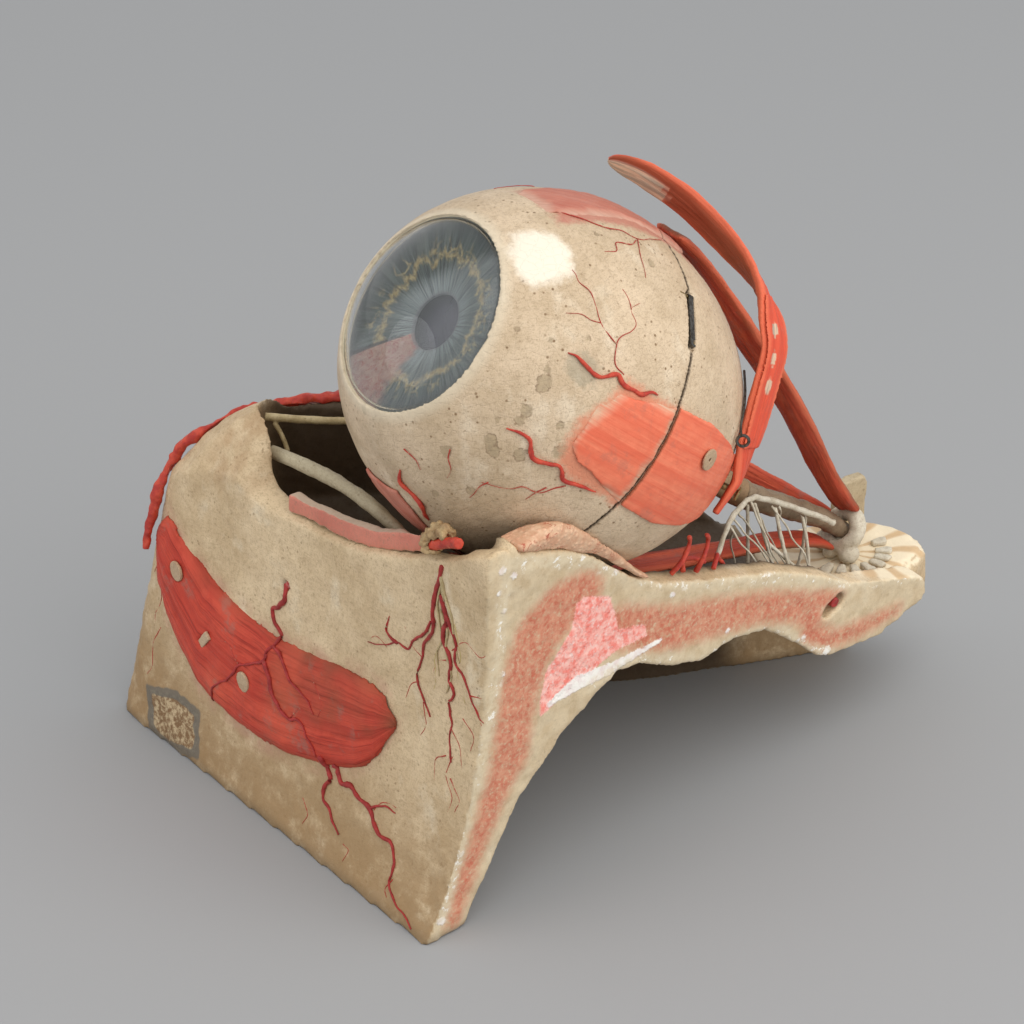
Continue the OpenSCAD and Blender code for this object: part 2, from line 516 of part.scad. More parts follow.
// flat muscle from the globe to the ring: points, width direction at each end, and widths
module muscle_band(path, turn0, turn1, wide0, wide1) {
    points = [for (p = path) follow(p)];
    e = len(points) - 1;
    strap([for (k = [0:3 * e]) let (c = k / 3, t = clamp(c / 3)) [row_at(points, c),
        unit(mix(turn0, turn1, t)), mix(wide0, wide1, pow(c / e, 1.6)),
        strap_thickness * clamp(0.45 + c, 0.45, 1) * (c > e - 1 ? 1 - 0.45 * (c - e + 1) : 1)]]);
}
module superior_rectus() {
    color("indianred") in_place() on_globe() muscle_band([[-2, 61.9, -14.5], [-2.3, 60.6, -24],
        [-3, 55.5, -43], [-3, 48.5, -64], [-3, 39, -93], [-3.5, 30, -117], [-5.5, 20.5, -141],
        [-6.6, 15.4, -156], [-7, 13.4, -164]], [1, 0, 0], [0.9, 0.39, -0.19], strap_width, 9);
}
module inferior_rectus() {
    color("indianred") in_place() on_globe() muscle_band([[0, -63.4, -10], [0, -61.4, -24],
        [0, -54.5, -46], [-1, -42, -75], [-3, -25, -108], [-5.4, -10, -136], [-6.6, -2.6, -155],
        [-7, -1.2, -164]], [-1, 0, 0], [-1, 0, 0], strap_width, 8);
}
module medial_rectus() {
    color("indianred") in_place() on_globe() muscle_band([[-63.4, 0, -14], [-61, 0.3, -26],
        [-54.5, 1, -46], [-42, 2, -75], [-30, 3.5, -106], [-20.5, 5, -136], [-15.4, 5.8, -155],
        [-14.2, 6, -164]], [0, 1, 0], [0, 1, 0], strap_width, 8);
}
frontal_path = [[24.5, 50, 80.5], [21.5, 57, 89.5], [18, 63, 96], [14, 71, 98], [10, 80, 97],
    [6.5, 98, 86], [4, 112, 76.5], [2.5, 121, 70]];
module frontal_nerve() {
    color("antiquewhite") in_place() rod(curve(frontal_path, 2), 1.5, [1, 0.2, 0], 10, 1.2);
}
ciliary_paths = [[[10.2, 79.6, 95.2], [12, 83.5, 80.5], [15.4, 86.6, 64.6]],
    [[8, 90, 90], [14, 90, 76], [19.4, 90.3, 65.6]], [[11.9, 84, 79.4], [16, 92, 70], [20, 98, 64]],
    [[4.6, 104.6, 80.6], [8.5, 105, 68], [12, 103.4, 55.4]], [[3.4, 107.6, 78.4], [3, 107.2, 65],
    [2.4, 104, 52.7]], [[11.4, 75.8, 97], [9.6, 78, 79], [8, 79.6, 62]]];
module ciliary_nerves() {
    color("khaki") in_place() difference() {
        for (p = ciliary_paths) rod(curve(p, 3), 0.7, [1, 0.3, 0], 6);
        rod(curve(frontal_path, 2), 1.8, [1, 0.2, 0], 10, 1.2);
    }
}
vessel_paths = [[[39, 24, 99.9], [40.2, 27.5, 104], [38.6, 31.5, 108.6], [40.6, 30, 112.6]],
    [[36.6, 36, 95.8], [38, 38, 101.4], [35.6, 41.4, 105.4], [38.6, 38.6, 109.6]],
    [[35.4, 44, 93.4], [32, 48, 95.6], [29, 50.6, 92.4], [27.4, 55, 86.6]],
    [[37.6, 30, 98.2], [33.6, 33, 99.6], [32.6, 38, 98.2], [34.6, 41.6, 96.4]]];
module orbital_vessels() {
    color("crimson") in_place() difference() {
        for (p = vessel_paths) rod(curve(p, 3), 1, [1, 0.1, 0], 8, 0.8);
        globe_room(2);
    }
}

// ---- rear half of the globe ---------------------------------------------------------------------------
catch_clock = 45;
catch_floor = globe_radius - slot_depth;
catch_pin_x = catch_floor + 1.4;
catch_pin_y = 8.2;
module catch_slot() {
    rotate([0, 0, catch_clock]) translate([catch_floor, -slot_length / 2, seam_w - slot_width / 2])
        cube([10, slot_length, slot_width]);
}
label_clock = 8;
label_w = -24.3;
nail_clock = 3;
nail_w = -0.753 * globe_half_length;
nail_radius = 1.2;
strap_lift = touch + insertion_thickness + 1.1 + 0.45 * strap_thickness;
module sclera_rear() {
    inner = globe_radius - sclera_wall;
    color("ivory") in_place() on_globe() difference() {
        shell(0, sclera_wall, -globe_half_length, seam_rear);
        translate([0, 0, seam_front - lip_length - seat])
            cylinder(r = inner + lip_wall + seat, h = lip_length + 2, $fn = fine);
        catch_slot();
        on_normal(nail_clock, nail_w, -3.2) cylinder(r = nail_radius + touch, h = 8, $fn = small);
        rotate([0, 0, catch_clock]) translate([catch_floor - 0.5 - touch, -7.6, seam_w - 1.05])
            rotate([0, 90, 0]) cylinder(r = 0.45 + touch, h = 4, $fn = small);
    }
}
module choroid_rear() {
    color("saddlebrown") in_place() on_globe()
        shell(choroid_depth, choroid_depth + choroid_wall, -globe_half_length, seam_rear);
}
module retina() {
    color("mistyrose") in_place() on_globe()
        shell(retina_depth, retina_depth + retina_wall, -globe_half_length, seam_rear);
}
module optic_stub() {
    face = globe_half_length + touch;
    color("peru") in_place() on_globe() rotate_extrude($fn = 48) polygon([[0, -face],
        [nerve_radius, -face + 0.3], [nerve_radius, socket_start + seat], [peg_radius, socket_start + seat],
        [peg_radius, socket_start + seat - peg_length], [0, socket_start + seat - peg_length]]);
}
// patch of muscle on the globe; outline gives w and half width
module patch(clock, outline) {
    intersection() {
        shell(-touch - insertion_thickness, -touch, 4.8 - globe_half_length, limbus_plane - 1.9);
        rotate([0, 0, clock]) rotate([0, 90, 0]) linear_extrude(80)
            polygon(concat([for (p = outline) [-p.x, p.y]], [for (p = reverse(outline)) [-p.x, -p.y]]));
    }
}
module lateral_insertion_rear() {
    color("tomato") in_place() on_globe() difference() {
        patch(0, [[seam_rear, side_insertion], [-20, side_insertion + 0.6], [-38, 15], [-50, 11],
            [-58, 8]]);
        on_normal(nail_clock, nail_w, -1) cylinder(r = nail_radius + touch, h = 8, $fn = small);
    }
}
module rectus_insertions_rear() {
    color("salmon") in_place() on_globe() {
        patch(90, [[seam_rear, top_insertion], [-9, top_insertion], [-14, top_insertion - 2.5]]);
        patch(-90, [[seam_rear, top_insertion], [-8, top_insertion - 1]]);
        patch(180, [[seam_rear, top_insertion], [-12, top_insertion - 1]]);
    }
}
module insertion_label() {
    color("ivory") in_place() on_globe() on_normal(label_clock, label_w, insertion_thickness + touch
        + 0.25) difference() {
            cylinder(r = label_radius, h = 0.7, $fn = small);
            translate([0, 0, -1]) cylinder(r = 0.6, h = 3, $fn = 16);
        }
}
module strap_nail() {
    color("darkgoldenrod") in_place() on_globe() on_normal(nail_clock, nail_w, -3) {
        cylinder(r = nail_radius, h = 3.8 + strap_lift + 0.45 * strap_thickness, $fn = small);
        translate([0, 0, 3.4 + strap_lift + 0.45 * strap_thickness])
            cylinder(r = 2.4, h = 0.9, $fn = small);
    }
}
eyelet_w = nail_w + 11.3;
module strap_eyelet() {
    color("dimgray") in_place() on_globe() {
        translate(on_surface(20.5, eyelet_w + 0.8, 2.9)) rotate([20, 60, 0])
            rotate_extrude($fn = 24) translate([1.9, 0]) circle(r = 0.55, $fn = 10);
        rod(curve([on_surface(22, eyelet_w, 2), on_surface(26, eyelet_w - 0.2, 0.8),
            on_surface(32, eyelet_w - 0.4, 0.8), on_surface(40, eyelet_w - 0.4, 0.8),
            on_surface(49, eyelet_w, 0.8)], 3), 0.45, [0, 0, 1], 8);
    }
}
module catch_stud() {
    color("goldenrod") in_place() on_globe() rotate([0, 0, catch_clock])
        translate([catch_floor - 0.5, -7.6, seam_w - 1.05]) rotate([0, 90, 0])
        cylinder(r = 0.45, h = 2.3, $fn = 20);
}

// ---- swinging strap of the outer muscle --------------------------------------------------------------
strap_rows = concat([[on_surface(-9, nail_w + 0.5, strap_lift), [0.69, 0, 0.72], 10, 2.2],
    [on_surface(3, nail_w, strap_lift), [0.69, 0, 0.72], 12, 3],
    [on_surface(10, nail_w + 0.1, strap_lift + 0.2), [0.6, -0.03, 0.8], 12.5, 3.2]], [for (r = [
    [[41.6, 16.8, -52], [0.37, -0.08, 0.92], 12.5, 3.2], [[40.2, 27, -49.6], [0.26, -0.12, 0.96], 13, 3.3],
    [[38.4, 39, -46.3], [0.25, -0.14, 0.96], 13.5, 3.3], [[36.3, 48, -43.8], [0.28, -0.24, 0.93], 14, 3.4],
    [[32, 55, -40], [0.42, -0.31, 0.85], 14, 3.6], [[25, 62.6, -33.7], [0.75, 0.11, 0.66], 13.5, 3.8],
    [[15, 68.2, -24], [0.71, 0.53, 0.46], 13.5, 3.8], [[2.5, 72.4, -11.3], [0.6, 0.66, 0.45], 13, 3.8],
    [[-9, 73.3, 0.8], [0.5, 0.69, 0.52], 11.5, 3.2], [[-17.5, 71, 10], [0.44, 0.68, 0.59], 7, 2]])
    [follow(r[0]), r[1], r[2], r[3]]]);
function smooth_rows(rows, c0, c1, n) = [for (k = [0:n]) let (c = mix(c0, c1, k / n))
    [row_at([for (r = rows) r[0]], c), unit(row_at([for (r = rows) r[1]], c)),
     row_at([for (r = rows) r[2]], c), row_at([for (r = rows) r[3]], c) * strap_thickness / 4]];
module lateral_rectus_strap() {
    color("orangered") in_place() on_globe() difference() {
        strap(smooth_rows(strap_rows, 0, len(strap_rows) - 1, 36));
        on_normal(nail_clock, nail_w, 0) cylinder(r = nail_radius + pin_play, h = 12, $fn = small);
    }
}
module strap_sleeve() {
    color("tomato") in_place() on_globe() strap([for (r = moved(smooth_rows(strap_rows, 3, 7.6, 14),
        0.43 * strap_thickness + 0.95)) [r[0], r[1], r[2] - 0.6, 1]]);
}
module strap_hook() {
    color("dimgray") in_place() on_globe() rod(curve([for (r = moved(smooth_rows(strap_rows, 4.6, 5.6, 4),
        -0.41 * strap_thickness - 0.8)) r[0]], 2), 0.5, [0, 0, 1], 8);
}

// ---- inside the globe -----------------------------------------------------------------------------------
lens_w = limbus_plane - 17.9;
lens_back = 10;
module vitreous_body() {
    w = vitreous_wall;
    a = vitreous_depth;
    f = limbus_plane - 27.9;
    color("aliceblue") in_place() on_globe() rotate_extrude($fn = fine) polygon(concat(
        [[3, -globe_half_length + a + 0.1]], coat(a, 9.8 - globe_half_length, f - 4, 20),
        [[globe_radius - 20, f + 0.6], [30, f + 3.4], [23.5, f + 4.2], [18, f + 3.2], [12, f + 1],
         [6, f - 0.2], [0, f - 0.6]],
        [[0, f - 0.6 - w], [6, f - 0.2 - w], [12, f + 1 - w], [18, f + 3.2 - w], [23.5, f + 4.2 - w],
         [30, f + 3.4 - w], [globe_radius - 21.2, f + 0.8 - w]],
        reverse(coat(a + w, 11.3 - globe_half_length, f - 5, 20)),
        [[3, -globe_half_length + a + w + 0.1]]));
}
module crystalline_lens() {
    color("lightyellow") in_place() on_globe() rotate_extrude($fn = fine) polygon(
        [for (i = [0:24]) let (t = -90 + 7.5 * i) [i == 0 || i == 24 ? 0 : lens_radius * cos(t),
            lens_w + (t > 0 ? lens_thickness - lens_back : lens_back) * sin(t)]]);
}
module choroid_front() {
    color("brown") in_place() on_globe()
        shell(choroid_depth, choroid_depth + choroid_wall, seam_front, limbus_plane - 5.8);
}
module ciliary_ring() {
    color("sienna") in_place() on_globe() {
        rotate_extrude($fn = fine) polygon(concat(coat(choroid_depth + choroid_wall + touch,
            limbus_plane - 21.5, limbus_plane - 14.3, 4),
            [[24.6, limbus_plane - 15.3], [24.6, limbus_plane - 17.3]]));
        for (a = [0:7.5:359]) rotate([0, 0, a])
            translate([25.4, -0.55, limbus_plane - 16.1]) cube([9, 1.1, 2]);
    }
}
iris_front = limbus_plane - pupil_depth + 0.3;
iris_rim = limbus_radius - seat;
module iris() {
    color("cadetblue") in_place() on_globe() rotate_extrude($fn = fine) polygon([
        [iris_rim, limbus_plane - 5.5], [iris_rim, limbus_plane - 2.2], [22, limbus_plane - 3.5],
        [pupil_radius, iris_front], [pupil_radius, iris_front - 1], [22, limbus_plane - 4.7],
        [iris_rim - 2.3, limbus_plane - 3.7], [iris_rim - 2.3, limbus_plane - 5.5]]);
}

// ---- front half of the globe -----------------------------------------------------------------------------
module sclera_front() {
    inner = globe_radius - sclera_wall;
    color("ivory") in_place() on_globe() difference() {
        union() {
            shell(0, sclera_wall, seam_front, limbus_plane + 2.1);
            difference() {
                translate([0, 0, seam_front - lip_length]) cylinder(r = inner + lip_wall,
                    h = lip_length + 1, $fn = fine);
                translate([0, 0, -10]) cylinder(r = inner, h = 20, $fn = fine);
            }
        }
        cylinder(r = limbus_radius, h = 80, $fn = fine);
        catch_slot();
        rotate([0, 0, catch_clock]) translate([catch_pin_x, catch_pin_y, 0])
            cylinder(r = catch_pin_radius + touch, h = 4.2, $fn = 20);
    }
}
module cornea() {
    r = limbus_radius - touch;
    big = (r * r + cornea_rise * cornea_rise) / (2 * cornea_rise);
    c = limbus_plane + cornea_rise - big;
    a = asin(r / big);
    b = asin((r - cornea_wall) / (big - cornea_wall));
    color("azure") in_place() on_globe() rotate_extrude($fn = fine) polygon(concat(
        [for (i = [0:14]) [big * sin(a * i / 14), c + big * cos(a * i / 14)]],
        [[r, limbus_plane - 1.7], [r - cornea_wall, limbus_plane - 1.7]],
        [for (i = [14:-1:0]) [(big - cornea_wall) * sin(b * i / 14),
            c + (big - cornea_wall) * cos(b * i / 14)]]));
}
module lateral_insertion_front() {
    color("tomato") in_place() on_globe() patch(0, [[27, 9], [22, 12.3], [16, 13], [8.6, 15.4],
        [4, 16.6], [seam_front, side_insertion]]);
}
module rectus_insertions_front() {
    color("salmon") in_place() on_globe() {
        patch(90, [[44, top_insertion - 4], [36, top_insertion], [20, top_insertion],
            [seam_front, top_insertion]]);
        patch(-90, [[36, top_insertion - 3], [28, top_insertion], [seam_front, top_insertion]]);
        patch(180, [[36, top_insertion - 3], [28, top_insertion], [seam_front, top_insertion]]);
    }
}
function laid(p) = [for (q = p) on_surface(atan2(q.y, q.x), q.z, globe_artery_radius + touch)];
module globe_arteries() {
    color("crimson") in_place() on_globe() {
        rod(curve(laid([[47.7, 14.5, 41.4], [50, 15.8, 36.6], [53.7, 13.1, 30.4], [55, 14.3, 26.9],
            [55, 16.7, 24], [56.5, 15.4, 20.8], [57.7, 15.4, 15.9], [57.6, 17.8, 9.5]]), 4),
            globe_artery_radius, [1, 0.2, 0.1], 8, 1);
        rod(curve(laid([[45.9, -14.7, 44], [49.9, -13.9, 37.9], [51.8, -18.9, 30.6], [54.5, -17.1, 25],
            [55.5, -19.7, 18.9], [57.8, -17.4, 9.6]]), 4), globe_artery_radius, [1, -0.2, 0.1], 8, 1);
        rod(curve(laid([[15.6, -45, 44.9], [15, -49.1, 38.8], [17.5, -50.1, 35.4], [19, -52.4, 29.1],
            [17, -54.5, 25.3]]), 4), globe_artery_radius * 0.9, [0, -1, 0.1], 8, 1);
    }
}
module catch_pin() {
    color("goldenrod") in_place() on_globe() rotate([0, 0, catch_clock])
        translate([catch_pin_x, catch_pin_y, seam_w - 1.4]) cylinder(r = catch_pin_radius, h = 6.4, $fn = 20);
}

// ---- catch across the seam -----------------------------------------------------------------------------
module seam_catch() {
    color("dimgray") in_place() on_globe() rotate([0, 0, catch_clock]) difference() {
        translate([catch_pin_x, 0, seam_w - 1.1]) {
            translate([-0.9, -9.2, 0]) cube([1.8, 9.2 + catch_pin_y, 2.2]);
            translate([0, catch_pin_y, 0]) cylinder(r = 1.1, h = 2.2, $fn = small);
        }
        translate([catch_pin_x, catch_pin_y, seam_w - 3])
            cylinder(r = catch_pin_radius + pin_play, h = 6, $fn = small);
        translate([catch_pin_x - 3, -7.6 - 0.8, seam_w - 3]) cube([6, 1.6, 2.75]);
    }
}

cheek_shell();
nasal_wall();
orbit_floor();
temporal_section();
apex_block();
apex_tab();
cheek_muscle();
cheek_muscle_labels();
cheek_artery();
malar_vessels();
malar_nerves();
facial_artery();
rim_bar();
inferior_oblique_rod();
nasal_nerves();
fat_tuft();
tuft_artery();
fat_pad();
carotid_artery();
ganglion_fan();
tendon_ring();
optic_nerve();
optic_socket();
frontal_nerve();
ciliary_nerves();
orbital_vessels();
superior_rectus();
inferior_rectus();
medial_rectus();
sclera_rear();
choroid_rear();
retina();
optic_stub();
lateral_insertion_rear();
rectus_insertions_rear();
insertion_label();
strap_nail();
strap_eyelet();
catch_stud();
lateral_rectus_strap();
strap_sleeve();
strap_hook();
vitreous_body();
crystalline_lens();
choroid_front();
ciliary_ring();
iris();
sclera_front();
cornea();
lateral_insertion_front();
rectus_insertions_front();
globe_arteries();
catch_pin();
seam_catch();
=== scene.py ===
import json
import math
import bpy
import numpy as np
from mathutils import Matrix, Vector
from mathutils.bvhtree import BVHTree

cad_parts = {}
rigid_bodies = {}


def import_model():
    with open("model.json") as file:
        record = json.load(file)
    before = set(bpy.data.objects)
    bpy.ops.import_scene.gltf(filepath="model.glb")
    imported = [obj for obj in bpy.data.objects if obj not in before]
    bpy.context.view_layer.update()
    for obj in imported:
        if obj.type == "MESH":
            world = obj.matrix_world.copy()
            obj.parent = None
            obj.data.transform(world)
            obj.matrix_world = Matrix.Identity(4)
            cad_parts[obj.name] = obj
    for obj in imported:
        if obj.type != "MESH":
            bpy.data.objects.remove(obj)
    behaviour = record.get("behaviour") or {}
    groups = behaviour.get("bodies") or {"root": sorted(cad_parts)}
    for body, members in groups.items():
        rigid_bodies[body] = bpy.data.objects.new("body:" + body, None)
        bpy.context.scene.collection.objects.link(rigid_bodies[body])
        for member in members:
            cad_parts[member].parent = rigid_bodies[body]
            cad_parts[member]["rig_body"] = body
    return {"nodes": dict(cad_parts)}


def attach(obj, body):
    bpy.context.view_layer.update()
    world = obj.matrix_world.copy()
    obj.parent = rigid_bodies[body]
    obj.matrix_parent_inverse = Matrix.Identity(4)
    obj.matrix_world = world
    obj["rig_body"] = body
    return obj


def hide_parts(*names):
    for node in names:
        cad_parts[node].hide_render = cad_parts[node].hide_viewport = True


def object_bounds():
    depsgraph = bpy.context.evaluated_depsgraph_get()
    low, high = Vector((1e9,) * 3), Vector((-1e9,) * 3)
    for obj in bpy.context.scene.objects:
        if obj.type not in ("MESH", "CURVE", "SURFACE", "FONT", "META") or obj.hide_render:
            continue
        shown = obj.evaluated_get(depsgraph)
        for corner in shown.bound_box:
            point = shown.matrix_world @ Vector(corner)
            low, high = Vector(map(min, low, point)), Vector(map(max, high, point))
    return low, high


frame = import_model()
cadBox = [list(corner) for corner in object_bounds()]
boxLow, boxHigh = (np.array(corner) for corner in cadBox)
shiftMm = np.array([34.47, -36.25, 0.0])  # the part's own centring shift
pitch = math.radians(39.3)                # upward tilt of the eye's axis
sinPitch, cosPitch = math.sin(pitch), math.cos(pitch)
globeMiddle = np.array([0.0, 0.0, 160.0])
globeRadius, globeHalf = 60.0, 70.8


# ---- places: millimetres of the part to metres of the row
def placed(points):
    return (np.asarray(points, float).reshape(-1, 3) + shiftMm) / 1000


def unplaced(points):
    return np.asarray(points, float).reshape(-1, 3) * 1000 - shiftMm


def eyeTurn(vectors):
    u, v, w = np.asarray(vectors, float).reshape(-1, 3).T
    return np.c_[u, sinPitch * v - cosPitch * w, cosPitch * v + sinPitch * w]


def eyePlaced(points):
    return placed(eyeTurn(points) + globeMiddle)


def toEye(metres):
    x, y, z = (unplaced(metres) - globeMiddle).T
    return np.c_[x, sinPitch * y + cosPitch * z, -cosPitch * y + sinPitch * z]


def onGlobe(clock, w, lift=0.0):
    r = globeRadius * math.sqrt(max(1 - (w / globeHalf) ** 2, 0))
    k = w * (globeRadius / globeHalf) ** 2
    size = math.hypot(r, k)
    a, out = math.radians(clock), r + lift * r / size
    return [out * math.cos(a), out * math.sin(a), w + lift * k / size]


cutFace = {"corner": (50.0, -78.0, 0.0), "along": (-0.1424, 0.9898, 0.0), "up": (0.0743, 0.0107, 0.9972),
           "out": (0.987, 0.142, -0.0751)}


def toCut(mm):
    d = mm - np.array(cutFace["corner"])
    return d @ cutFace["along"], d @ cutFace["up"], d @ cutFace["out"]


# ---- numbers for shapes
def unit(v):
    v = np.asarray(v, float)
    return v / np.maximum(np.linalg.norm(v, axis=-1, keepdims=True), 1e-12)


def fade(x, low, high):
    t = np.clip((np.asarray(x, float) - low) / (high - low), 0, 1)
    return t * t * (3 - 2 * t)


def lumps(points, size, seed=1):
    q = np.asarray(points, float) / size
    base = np.floor(q).astype(np.int64)
    f = q - base
    f = f * f * (3 - 2 * f)
    total = np.zeros(len(q))
    for corner in range(8):
        o = np.array([corner & 1, corner >> 1 & 1, corner >> 2 & 1])
        c = base + o
        n = (c[:, 0] * 73856093 ^ c[:, 1] * 19349663 ^ c[:, 2] * 83492791 ^ seed * 2654435761) & 0xFFFFFF
        n = (n * 1103515245 + 12345) & 0x7FFFFFFF
        n = ((n >> 8 ^ n) * 69069 + 1) & 0xFFFFFF
        weight = np.prod(np.where(o, f, 1 - f), axis=1)
        total += weight * (n / 0xFFFFFF * 2 - 1)
    return total


def smoothLine(points, steps=6):
    p = np.asarray(points, float)
    if len(p) < 3:
        return np.array([p[0] + (p[-1] - p[0]) * t for t in np.linspace(0, 1, steps + 1)])
    e = np.vstack([2 * p[0] - p[1], p, 2 * p[-1] - p[-2]])
    out = []
    for i in range(1, len(e) - 2):
        a, b, c, d = e[i - 1:i + 3]
        for t in np.arange(steps) / steps:
            out.append(0.5 * (2 * b + (c - a) * t + (2 * a - 5 * b + 4 * c - d) * t * t
                              + (3 * b - a - 3 * c + d) * t ** 3))
    return np.array(out + [p[-1]])


def lineGap(points, line, widths=None):
    best = np.full(len(points), 1e9)
    line = np.asarray(line, float)
    for i in range(len(line) - 1):
        a, b = line[i], line[i + 1]
        d = b - a
        t = np.clip((points - a) @ d / max(d @ d, 1e-9), 0, 1)
        gap = np.linalg.norm(points - (a + t[:, None] * d), axis=1)
        if widths is not None:
            gap = gap - (widths[i] + (widths[i + 1] - widths[i]) * t)
        best = np.minimum(best, gap)
    return best


def insideGap(points, outline):
    p = np.asarray(outline, float)
    closed = np.vstack([p, p[:1]])
    gap = lineGap(points, closed)
    inside = np.zeros(len(points), bool)
    for (x0, y0), (x1, y1) in zip(closed[:-1], closed[1:]):
        crosses = (y0 > points[:, 1]) != (y1 > points[:, 1])
        edge = x0 + (points[:, 1] - y0) * (x1 - x0) / (y1 - y0 if y1 != y0 else 1e-9)
        inside ^= crosses & (points[:, 0] < edge)
    return np.where(inside, -gap, gap)


# ---- meshes
def vertsOf(mesh):
    co = np.empty(len(mesh.vertices) * 3, np.float32)
    mesh.vertices.foreach_get("co", co)
    return co.reshape(-1, 3).astype(float)


def setVerts(mesh, co):
    mesh.vertices.foreach_set("co", np.asarray(co, np.float32).ravel())
    mesh.update()


def normalsOf(mesh):
    n = np.empty(len(mesh.vertices) * 3, np.float32)
    mesh.vertex_normals.foreach_get("vector", n)
    return n.reshape(-1, 3).astype(float)


def edgesOf(mesh):
    e = np.empty(len(mesh.edges) * 2, np.int32)
    mesh.edges.foreach_get("vertices", e)
    return e.reshape(-1, 2)


def relaxed(co, edges, rounds, keep=None):
    degree = np.bincount(edges.ravel(), minlength=len(co)).astype(float)
    degree[degree == 0] = 1
    for _ in range(rounds):
        for pull in (0.52, -0.54):
            total = np.empty_like(co)
            for axis in range(3):
                c = co[:, axis]
                total[:, axis] = (np.bincount(edges[:, 0], c[edges[:, 1]], len(co))
                                  + np.bincount(edges[:, 1], c[edges[:, 0]], len(co)))
            step = pull * (total / degree[:, None] - co)
            co = co + (step if keep is None else step * keep[:, None])
    return co


def note(mesh, name, values):
    values = np.asarray(values, np.float32)
    kind = "FLOAT" if values.ndim == 1 else "FLOAT_VECTOR"
    layer = mesh.attributes.get(name) or mesh.attributes.new(name, kind, "POINT")
    layer.data.foreach_set("value" if values.ndim == 1 else "vector", values.ravel())


def newMesh(name, verts, faces):
    mesh = bpy.data.meshes.new(name)
    mesh.from_pydata([tuple(v) for v in verts], [], [tuple(int(i) for i in f) for f in faces])
    mesh.validate()
    mesh.update()
    return mesh


def showPiece(mesh, name, body, material, replaced=(), smooth=True):
    mesh.polygons.foreach_set("use_smooth", [smooth] * len(mesh.polygons))
    piece = bpy.data.objects.new(name, mesh)
    bpy.context.scene.collection.objects.link(piece)
    mesh.materials.clear()
    mesh.materials.append(material)
    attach(piece, body)
    if replaced:
        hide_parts(*replaced)
    return piece


def recast(nodes, voxel, rounds=4):
    verts, faces = [], []
    for node in nodes:
        mesh = frame["nodes"][node].data
        start = sum(len(v) for v in verts)
        verts.append(vertsOf(mesh))
        faces += [[i + start for i in p.vertices] for p in mesh.polygons]
    mesh = newMesh("cast", np.vstack(verts), faces)
    holder = bpy.data.objects.new("cast", mesh)
    bpy.context.scene.collection.objects.link(holder)
    weld = holder.modifiers.new("weld", "WELD")
    weld.merge_threshold = 0.000002
    remesh = holder.modifiers.new("remesh", "REMESH")
    remesh.mode = "VOXEL"
    remesh.voxel_size = voxel / 1000
    graph = bpy.context.evaluated_depsgraph_get()
    graph.update()
    result = bpy.data.meshes.new_from_object(holder.evaluated_get(graph))
    bpy.data.objects.remove(holder)
    if rounds:
        setVerts(result, relaxed(vertsOf(result), edgesOf(result), rounds))
    return result


def roughen(mesh, layers, seed=3, limit=None):
    co, n = vertsOf(mesh), normalsOf(mesh)
    mm = unplaced(co)
    rise = sum(height * lumps(mm, size, seed + i) for i, (size, height) in enumerate(layers))
    if limit is not None:
        rise = rise * limit
    setVerts(mesh, np.clip(co + n * rise[:, None] / 1000, boxLow, boxHigh))


def treeOf(mesh):
    return BVHTree.FromPolygons([tuple(v) for v in vertsOf(mesh)], [tuple(p.vertices) for p in mesh.polygons])


def tube(points, radii, sides=8, flat=1.0, ups=None):
    p = np.asarray(points, float)
    n = len(p)
    radii = np.broadcast_to(np.asarray(radii, float), (n,))
    along = unit(np.gradient(p, axis=0))
    up = np.asarray(ups, float) if ups is not None else np.tile([0.12, 0.2, 1.0], (n, 1))
    side = unit(np.cross(along, up))
    up = np.cross(side, along)
    turn = np.arange(sides) * 2 * math.pi / sides
    ring = (p[:, None, :] + radii[:, None, None] * (np.cos(turn)[None, :, None] * side[:, None, :]
            + flat * np.sin(turn)[None, :, None] * up[:, None, :]))
    verts = np.vstack([ring.reshape(-1, 3), p[:1] - along[:1] * radii[0] * 0.5, p[-1:] + along[-1:] * radii[-1] * 0.5])
    faces = [(i * sides + j, i * sides + (j + 1) % sides, (i + 1) * sides + (j + 1) % sides, (i + 1) * sides + j)
             for i in range(n - 1) for j in range(sides)]
    a, b = n * sides, n * sides + 1
    faces += [(a, (j + 1) % sides, j) for j in range(sides)]
    faces += [(b, (n - 1) * sides + j, (n - 1) * sides + (j + 1) % sides) for j in range(sides)]
    return verts, faces


def joined(parts):
    verts, faces, start = [], [], 0
    for v, f in parts:
        verts.append(v)
        faces += [[i + start for i in q] for q in f]
        start += len(v)
    return np.vstack(verts), faces


print("places and meshes ready")


